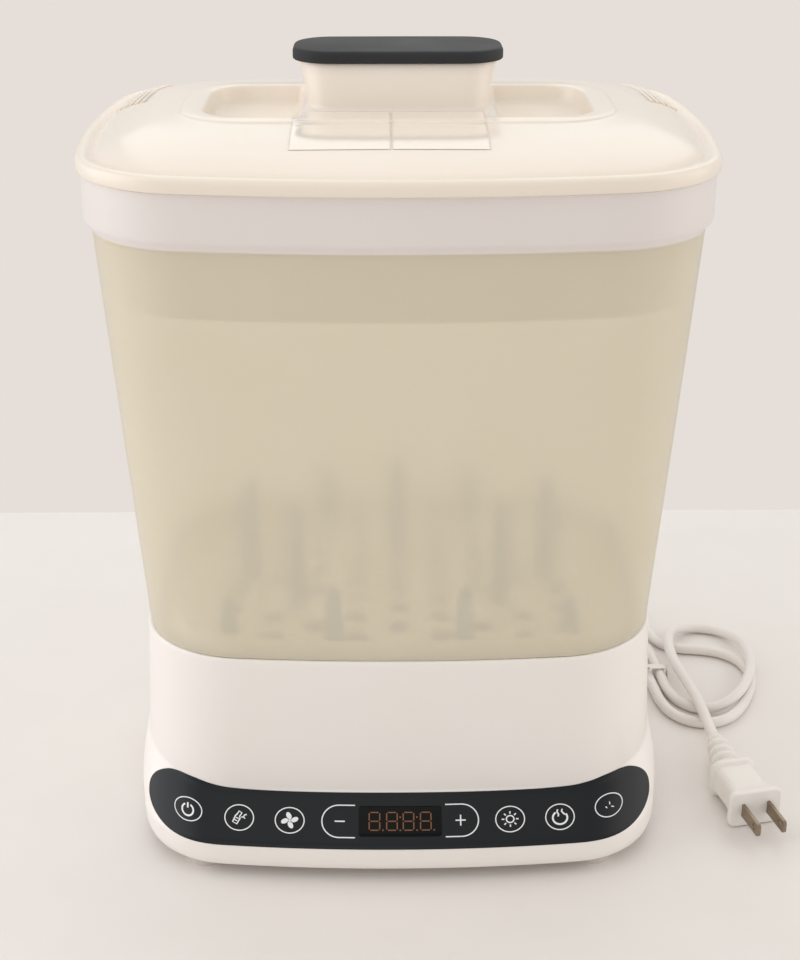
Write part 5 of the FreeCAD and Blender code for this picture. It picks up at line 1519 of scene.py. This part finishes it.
@dataclass
class Handle:
    """The grip on the lid and its dark cap."""

    foot: float = 326.5
    tall: float = 18.8
    fillet: float = 2.2
    low: Plan = Plan(38.8, 25.0, 25.0, 12.0, 12.0, 0.3, 0.6)
    high: Plan = Plan(42.4, 20.6, 20.6, 15.0, 15.0, 0.3, 0.6)
    cap_plan: Plan = Plan(44.8, 22.6, 22.6, 16.5, 16.5, 0.3, 0.6)
    # The grip's flare as shares of its rise and of the way out, and the cap's side as rise and inset.
    flare: Profile = ((0.0, 0.0), (0.35, 0.16), (0.7, 0.5), (1.0, 1.0))
    cap_side: Profile = (
        (0.0, 1.0), (0.12, 0.45), (0.45, 0.1), (0.9, 0.0), (3.4, 0.0), (3.9, 0.08), (4.35, 0.32),
        (4.75, 0.75), (5.0, 1.3), (5.14, 2.0), (5.2, 3.0))

    def grip(self) -> None:
        """Builds the flared grip with the fillet round its foot."""
        rings = [self.low.shrink(self.fillet * (math.sin(turn) - 1)).ring(
            self.foot + self.fillet * (1 - math.cos(turn))) for turn in np.linspace(0.0, math.pi / 2, 9)]
        rings += [self.low.toward(self.high, curve_through(self.flare, up)).ring(
            self.foot + self.fillet + (self.tall - self.fillet) * up) for up in np.linspace(0.06, 1.0, 20)]
        grip = loft(rings, cap_first=True, cap_last=True).piece("grip", "grip_ivory", 50.0)
        fit(grip, "lid", "grip_ivory", "handle_body")

    def cap(self) -> None:
        """Builds the soft-touch cap with its rounded edge."""
        rings = [self.cap_plan.shrink(inset).ring(self.foot + self.tall + up) for up, inset in self.cap_side]
        cap = loft(rings, cap_first=True, cap_last=True).piece("grip_cap", "cap_dark", 50.0)
        fit(cap, "lid", "cap_dark", "handle_cap")

    def make(self) -> None:
        """Builds the grip and the cap."""
        self.grip()
        self.cap()


# ------------------------------------------------------------------ lead and plug
@dataclass
class Lead:
    """The mains lead: its cord, tie, tapered tail and plug."""

    thick: float = 5.6
    long: float = 833.0
    plug_at: Point = (167.0, -70.3, 9.6)
    plug_turn: float = 13.0
    plug_long: float = 29.5
    tail_turn: float = 3.0
    tail_long: float = 33.0
    # The plug's face, the step behind it, its waist and its collar, each but the step as half width, half
    # height and corner, and its profiles along it.
    face: Point = (12.9, 9.1, 3.4)
    face_step: float = 0.6
    waist: Point = (9.4, 7.6, 3.6)
    collar: Point = (11.0, 9.4, 5.0)
    least_corner: float = 0.8
    face_edge: Profile = (
        (0.0, 1.0), (0.12, 0.5), (0.45, 0.15), (0.9, 0.0), (2.6, 0.0), (3.1, 0.15), (3.5, 0.5))
    waist_in: Profile = ((4.2, 0.22), (6.0, 0.5), (8.5, 0.8), (12.0, 1.0), (18.0, 1.0), (25.4, 1.0))
    collar_edge: Profile = (
        (25.9, 1.2), (26.1, 0.5), (26.5, 0.12), (27.0, 0.0), (28.6, 0.0), (29.1, 0.15), (29.4, 0.5),
        (29.5, 1.0))
    # The tail as length and radius: its root, one rib as length and inset, and its tip.
    tail_root: Profile = ((-0.6, 7.6), (1.0, 7.5), (3.4, 7.0), (5.0, 6.6))
    tail_rib: Profile = ((0.0, 2.0), (0.5, 0.5), (1.0, 0.0), (3.6, 0.15), (4.4, 0.6), (4.9, 2.2), (6.6, 2.5))
    tail_ribs: Profile = ((7.0, 7.5), (14.4, 6.6), (21.8, 5.7))
    tail_tip: Profile = ((29.4, 4.1), (31.5, 3.8), (32.7, 3.6), (33.0, 3.2))
    # The tie: its middle over the floor, its half width, its lowest and highest height and its wall.
    tie_at: Flat = (139.3, 69.5)
    tie_half: float = 8.5
    tie_low: float = 0.12
    tie_high: float = 7.7
    tie_long: float = 4.6
    tie_wall: float = 0.8
    tie_square: float = 0.55
    tie_wave: float = 0.5
    # The tie's twisted ends: the wire's radius, their start aside, behind and above the band, how far they
    # run and rise, how far each leans, and their twist as turns, radius and share of its height.
    wire: float = 0.6
    end_from: Point = (-3.0, -1.0, 0.2)
    end_run: float = 6.5
    end_rise: float = 0.5
    end_leans: Flat = (1.5, -1.2)
    twist: Point = (1.1, 0.7, 0.3)
    # Where the cord lies, from the gland to the plug's tail.
    route: tuple[Point, ...] = (
        (55.0, 115.86, 24.0), (55.3, 128.0, 23.0), (59.0, 139.5, 19.0), (67.5, 147.5, 13.2),
        (79.0, 147.2, 7.4), (88.0, 139.5, 3.8), (93.3, 128.6, 2.9), (99.2, 117.6, 2.9),
        (107.8, 108.2, 2.9), (118.2, 99.6, 2.9), (126.8, 89.4, 3.2), (132.7, 77.5, 3.9),
        (136.2, 64.8, 3.9), (138.0, 51.6, 3.0), (139.2, 38.8, 2.9), (143.2, 27.0, 2.9),
        (151.6, 18.6, 2.9), (162.8, 17.0, 2.9), (173.0, 22.2, 2.9), (180.2, 32.0, 2.9),
        (186.2, 44.2, 2.9), (191.0, 57.2, 2.9), (192.8, 71.0, 2.9), (189.2, 84.0, 2.9),
        (180.2, 93.0, 2.9), (168.4, 96.2, 2.9), (156.6, 97.4, 2.9), (147.8, 104.2, 2.9),
        (144.3, 115.4, 2.9), (143.4, 127.6, 2.9), (140.4, 139.8, 2.9), (133.8, 151.0, 2.9),
        (123.6, 158.2, 2.9), (111.4, 158.4, 2.9), (101.8, 151.2, 2.9), (98.2, 139.6, 2.9),
        (101.8, 128.0, 2.9), (111.6, 120.8, 2.9), (123.4, 118.6, 2.9), (133.4, 112.4, 2.9),
        (139.6, 102.0, 2.9), (142.0, 89.8, 3.2), (142.7, 76.6, 3.9), (143.1, 63.6, 3.9),
        (144.6, 50.8, 3.1), (149.0, 39.0, 2.9), (157.8, 31.4, 2.9), (169.0, 31.0, 4.6),
        (178.8, 37.0, 8.0), (185.2, 47.4, 8.8), (190.2, 59.6, 8.8), (193.3, 72.8, 8.8),
        (194.2, 86.6, 8.4), (193.4, 100.4, 6.2), (189.2, 113.0, 3.8), (179.2, 121.2, 2.9),
        (166.6, 121.6, 3.4), (156.4, 113.8, 6.2), (152.4, 101.8, 8.8), (150.8, 88.6, 9.2),
        (150.9, 75.2, 9.1), (152.6, 61.8, 9.0), (154.8, 48.6, 9.0), (156.6, 35.4, 9.0),
        (157.7, 22.2, 9.1), (158.1, 8.6, 9.4))

    def _ahead(self, turn: float, reach: float) -> Vector:
        """Gives a step over the floor, a turn round from straight forward."""
        return Vector((reach * math.sin(math.radians(turn)), -reach * math.cos(math.radians(turn)), 0.0))

    @property
    def tail_at(self) -> Vector:
        """The middle of the plug's rear face, where its tail starts."""
        return Vector(self.plug_at) - self._ahead(self.plug_turn, self.plug_long)

    @property
    def cord_end(self) -> Vector:
        """Where the cord goes into the plug's tail."""
        return self.tail_at - self._ahead(self.tail_turn, self.tail_long)

    def cord(self, pieces: list[bpy.types.Object]) -> None:
        """Builds the cord on one smooth line.

        Args:
            pieces: The pieces on it; not used.
        """
        curve = bpy.data.curves.new("mains_cord", "CURVE")
        curve.dimensions = "3D"
        curve.bevel_depth = self.thick / 2 * MM
        curve.bevel_resolution = 6
        curve.resolution_u = 10
        curve.use_fill_caps = True
        line = curve.splines.new("NURBS")
        points = [*self.route, tuple(self.cord_end)]
        line.points.add(len(points) - 1)
        for spot, point in zip(line.points, points):
            spot.co = (*(c * MM for c in point), 1.0)
        line.order_u = 3
        line.use_endpoint_u = True
        curve.materials.append(PAINT["cord_white"])
        cord = fit(placed("mains_cord", curve), "base", "cord_white", "power_cord")
        start = [c * MM for c in self.route[0]]

    def tie(self) -> bpy.types.Object:
        """Builds the soft band round the two strands, with its twisted ends.

        Returns:
            The tie.
        """
        (x, y), half = self.tie_at, self.tie_long / 2
        middle, tall = (self.tie_low + self.tie_high) / 2, (self.tie_high - self.tie_low) / 2
        sections = []
        for turn in around(48):
            wide_share, tall_share = (math.copysign(abs(side) ** self.tie_square, side)
                                      for side in (math.cos(turn), math.sin(turn)))
            out = Vector((self.tie_half * wide_share, tall * tall_share))
            within = out * (1 - self.tie_wall / out.length)
            wave = y + self.tie_wave * math.sin(3 * turn)
            sections.append([(x + side.x, wave + along, middle + side.y) for side, along in (
                (out, -half), (out, half), (within, half), (within, -half))])
        band = loft(sections + sections[:1])
        aside, behind, above = self.end_from
        turns, swing, height = self.twist
        for side, lean in zip((-1, 1), self.end_leans):
            end = []
            for share in np.linspace(0.0, 1.0, 13):
                twisted = 2 * math.pi * turns * share
                cx = x + aside + side * swing * math.cos(twisted) + lean * share
                cz = self.tie_high + above + swing * math.sin(twisted) * side * height + self.end_rise * share
                end.append([(cx + self.wire * math.cos(turn), y + behind - self.end_run * share,
                             cz + self.wire * math.sin(turn)) for turn in around(8)])
            band.add(loft(end, cap_first=True, cap_last=True))
        return fit(band.piece("cord_band", "cord_white", 60.0), "base", "cord_white", "cord_tie")

    def _section(self, y: float, size: Point, inset: float) -> list[Point]:
        """Gives a rounded rectangle across the plug.

        Args:
            y: Its place along the plug.
            size: Its half width, half height and corner.
            inset: How far it is drawn in.

        Returns:
            The ring of points.
        """
        corner = max(size[2] - inset, self.least_corner)
        wide, tall = size[0] - inset - corner, size[1] - inset - corner
        return [(sx * wide + corner * math.cos(turn), y, sz * tall + corner * math.sin(turn))
                for sx, sz, start in ((1, -1, -90), (1, 1, 0), (-1, 1, 90), (-1, -1, 180))
                for turn in (math.radians(start + 90 * step / 8) for step in range(9))]

    def _laid(self, rings: list[list[Point]], name: str, turn: float, at: Vector,
              node: str) -> bpy.types.Object:
        """Lofts rings into a moulded piece, turned about its origin and moved to where it lies.

        Args:
            rings: Its rings along y.
            name: The piece's name.
            turn: Its turn over the floor, in degrees.
            at: Where its origin lies.
            node: The node that it replaces.

        Returns:
            The piece.
        """
        place = Matrix.Translation(at) @ Matrix.Rotation(math.radians(turn), 4, "Z")
        shape = loft(rings, cap_first=True, cap_last=True).moved(place)
        return fit(shape.piece(name, "plug_white", 45.0), "base", "plug_white", node)

    def plug(self) -> bpy.types.Object:
        """Builds the moulded plug: broad face, drawn-in waist and a collar behind it.

        Returns:
            The plug.
        """
        rings = [self._section(y, self.face, inset) for y, inset in self.face_edge]
        behind = [side - self.face_step for side in self.face]
        for y, share in self.waist_in:
            size = tuple(a + (b - a) * share for a, b in zip(behind, self.waist))
            rings.append(self._section(y, size, 0.0))
        rings += [self._section(y, self.collar, inset) for y, inset in self.collar_edge]
        return self._laid(rings, "plug_moulding", self.plug_turn, Vector(self.plug_at), "plug_body")

    def tail(self) -> bpy.types.Object:
        """Builds the plug's ribbed tail.

        Returns:
            The tail.
        """
        steps = [*self.tail_root, *((start + y, full - inset) for start, full in self.tail_ribs
                                    for y, inset in self.tail_rib), *self.tail_tip]
        rings = [[(r * math.cos(turn), y, r * math.sin(turn)) for turn in around(40)] for y, r in steps]
        return self._laid(rings, "plug_tail", self.tail_turn, self.tail_at, "plug_relief")

    def make(self) -> None:
        """Builds the lead and what is on it."""
        self.cord([self.tie(), self.plug(), self.tail(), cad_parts["plug_blades"]])


# ------------------------------------------------------------------ carried-over nodes, studio
def dress_nodes() -> None:
    """Gives every carried-over node the finish of its own material slot."""
    for name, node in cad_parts.items():
        for index, slot in enumerate(node.material_slots):
            key = slot.material.name.split(".")[0] if slot.material else ""
            if key in FINISHES:
                node.material_slots[index].material = PAINT[key]
            else:
                LOG.warning("%s has no finish named %s", name, key)


@dataclass(frozen=True)
class Lamp:
    """A soft square light: its place, aim and side in metres, its power in watts and its colour."""

    name: str
    at: Point
    aim: float
    power: float
    side: float
    colour: str

    def hang(self) -> None:
        """Hangs the light, facing the object's axis at the height that it aims for."""
        data = bpy.data.lights.new(self.name, "AREA")
        data.energy, data.size, data.color = self.power, self.side, linear(self.colour)[:3]
        light = placed(self.name, data)
        light.location = self.at
        facing = Vector((0.0, 0.0, self.aim)) - Vector(self.at)
        light.rotation_euler = facing.to_track_quat("-Z", "Y").to_euler()


@dataclass
class Studio:
    """The pale table, the soft lights and the camera."""

    # Polished flat and then honed: an even, dull white with hardly any gloss.
    table: Finish = Finish("honed pale stone", "eeeae6", "eae5e1", 0.5, relief=0.0)
    table_reach: float = 3.0
    table_end: float = 0.295
    backdrop: str = "e6dfd9"
    sky_light: str = "d0cfcd"
    camera_at: Point = (-0.0065, -0.7429, 0.4626)
    pitch: float = 0.401
    yaw: float = -0.010
    lens: float = 63.8
    lamps: tuple[Lamp, ...] = (
        Lamp("rear", (0.1, 1.3, 1.4), 0.1, 5.5, 1.6, "fffefc"),
        Lamp("top", (-0.2, -0.1, 1.7), 0.2, 2.5, 1.4, "fffdfa"),
        Lamp("left", (-1.5, -0.1, 0.7), 0.15, 11.0, 1.6, "fdfcff"),
        Lamp("front", (-0.3, -1.6, 0.9), 0.15, 2.2, 1.2, "fffaf7"),
        Lamp("right", (1.5, -0.1, 0.7), 0.15, 6.5, 1.4, "fffaf6"))

    def floor(self) -> None:
        """Lays the table."""
        side, end = self.table_reach / MM, self.table_end / MM
        outline = [(-side, -side, 0.0), (side, -side, 0.0), (side, end, 0.0), (-side, end, 0.0)]
        mesh = Shape(outline, [(0, 1, 2, 3)]).mesh("table")
        mesh.materials.append(self.table.build())
        placed("table", mesh)

    def sky(self) -> None:
        """Makes the even background, whose light is a little cooler than it looks."""
        world = bpy.data.worlds.new("studio")
        world.use_nodes = True
        tree = world.node_tree
        tree.nodes.clear()
        seen = add_node(tree, "ShaderNodeMix", {
            "Factor": add_node(tree, "ShaderNodeLightPath").outputs["Is Camera Ray"],
            "A": linear(self.sky_light), "B": linear(self.backdrop)}, data_type="RGBA")
        sky = add_node(tree, "ShaderNodeBackground", {"Color": seen.outputs["Result"]})
        add_node(tree, "ShaderNodeOutputWorld", {"Surface": sky.outputs["Background"]})
        bpy.context.scene.world = world
        bpy.context.scene.view_settings.view_transform = "Standard"

    def camera(self) -> None:
        """Sets up the camera."""
        data = bpy.data.cameras.new("camera")
        data.lens, data.sensor_width = self.lens, 36.0
        camera = placed("camera", data)
        camera.location = self.camera_at
        aim = Matrix.Rotation(self.yaw, 3, "Z") @ Matrix.Rotation(math.pi / 2 - self.pitch, 3, "X")
        camera.rotation_euler = aim.to_euler()
        bpy.context.scene.camera = camera

    def make(self) -> None:
        """Sets up the camera first, then the table and the lights."""
        self.camera()
        self.floor()
        self.sky()
        for lamp in self.lamps:
            lamp.hang()


def main() -> None:
    """Builds the studio and the object's parts in order."""
    logging.basicConfig(level=logging.INFO, format="%(message)s")
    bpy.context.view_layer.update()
    Studio().make()
    dress_nodes()
    Lead().make()
    for part in (Base(), Tub(), Lid(), Handle()):
        part.make()


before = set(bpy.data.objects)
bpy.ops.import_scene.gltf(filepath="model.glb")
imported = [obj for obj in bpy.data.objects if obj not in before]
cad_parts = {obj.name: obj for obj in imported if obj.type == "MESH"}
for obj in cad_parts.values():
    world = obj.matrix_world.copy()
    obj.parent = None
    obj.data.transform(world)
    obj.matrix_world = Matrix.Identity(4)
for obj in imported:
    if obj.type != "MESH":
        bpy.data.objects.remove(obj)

if __name__ == "__main__":
    main()
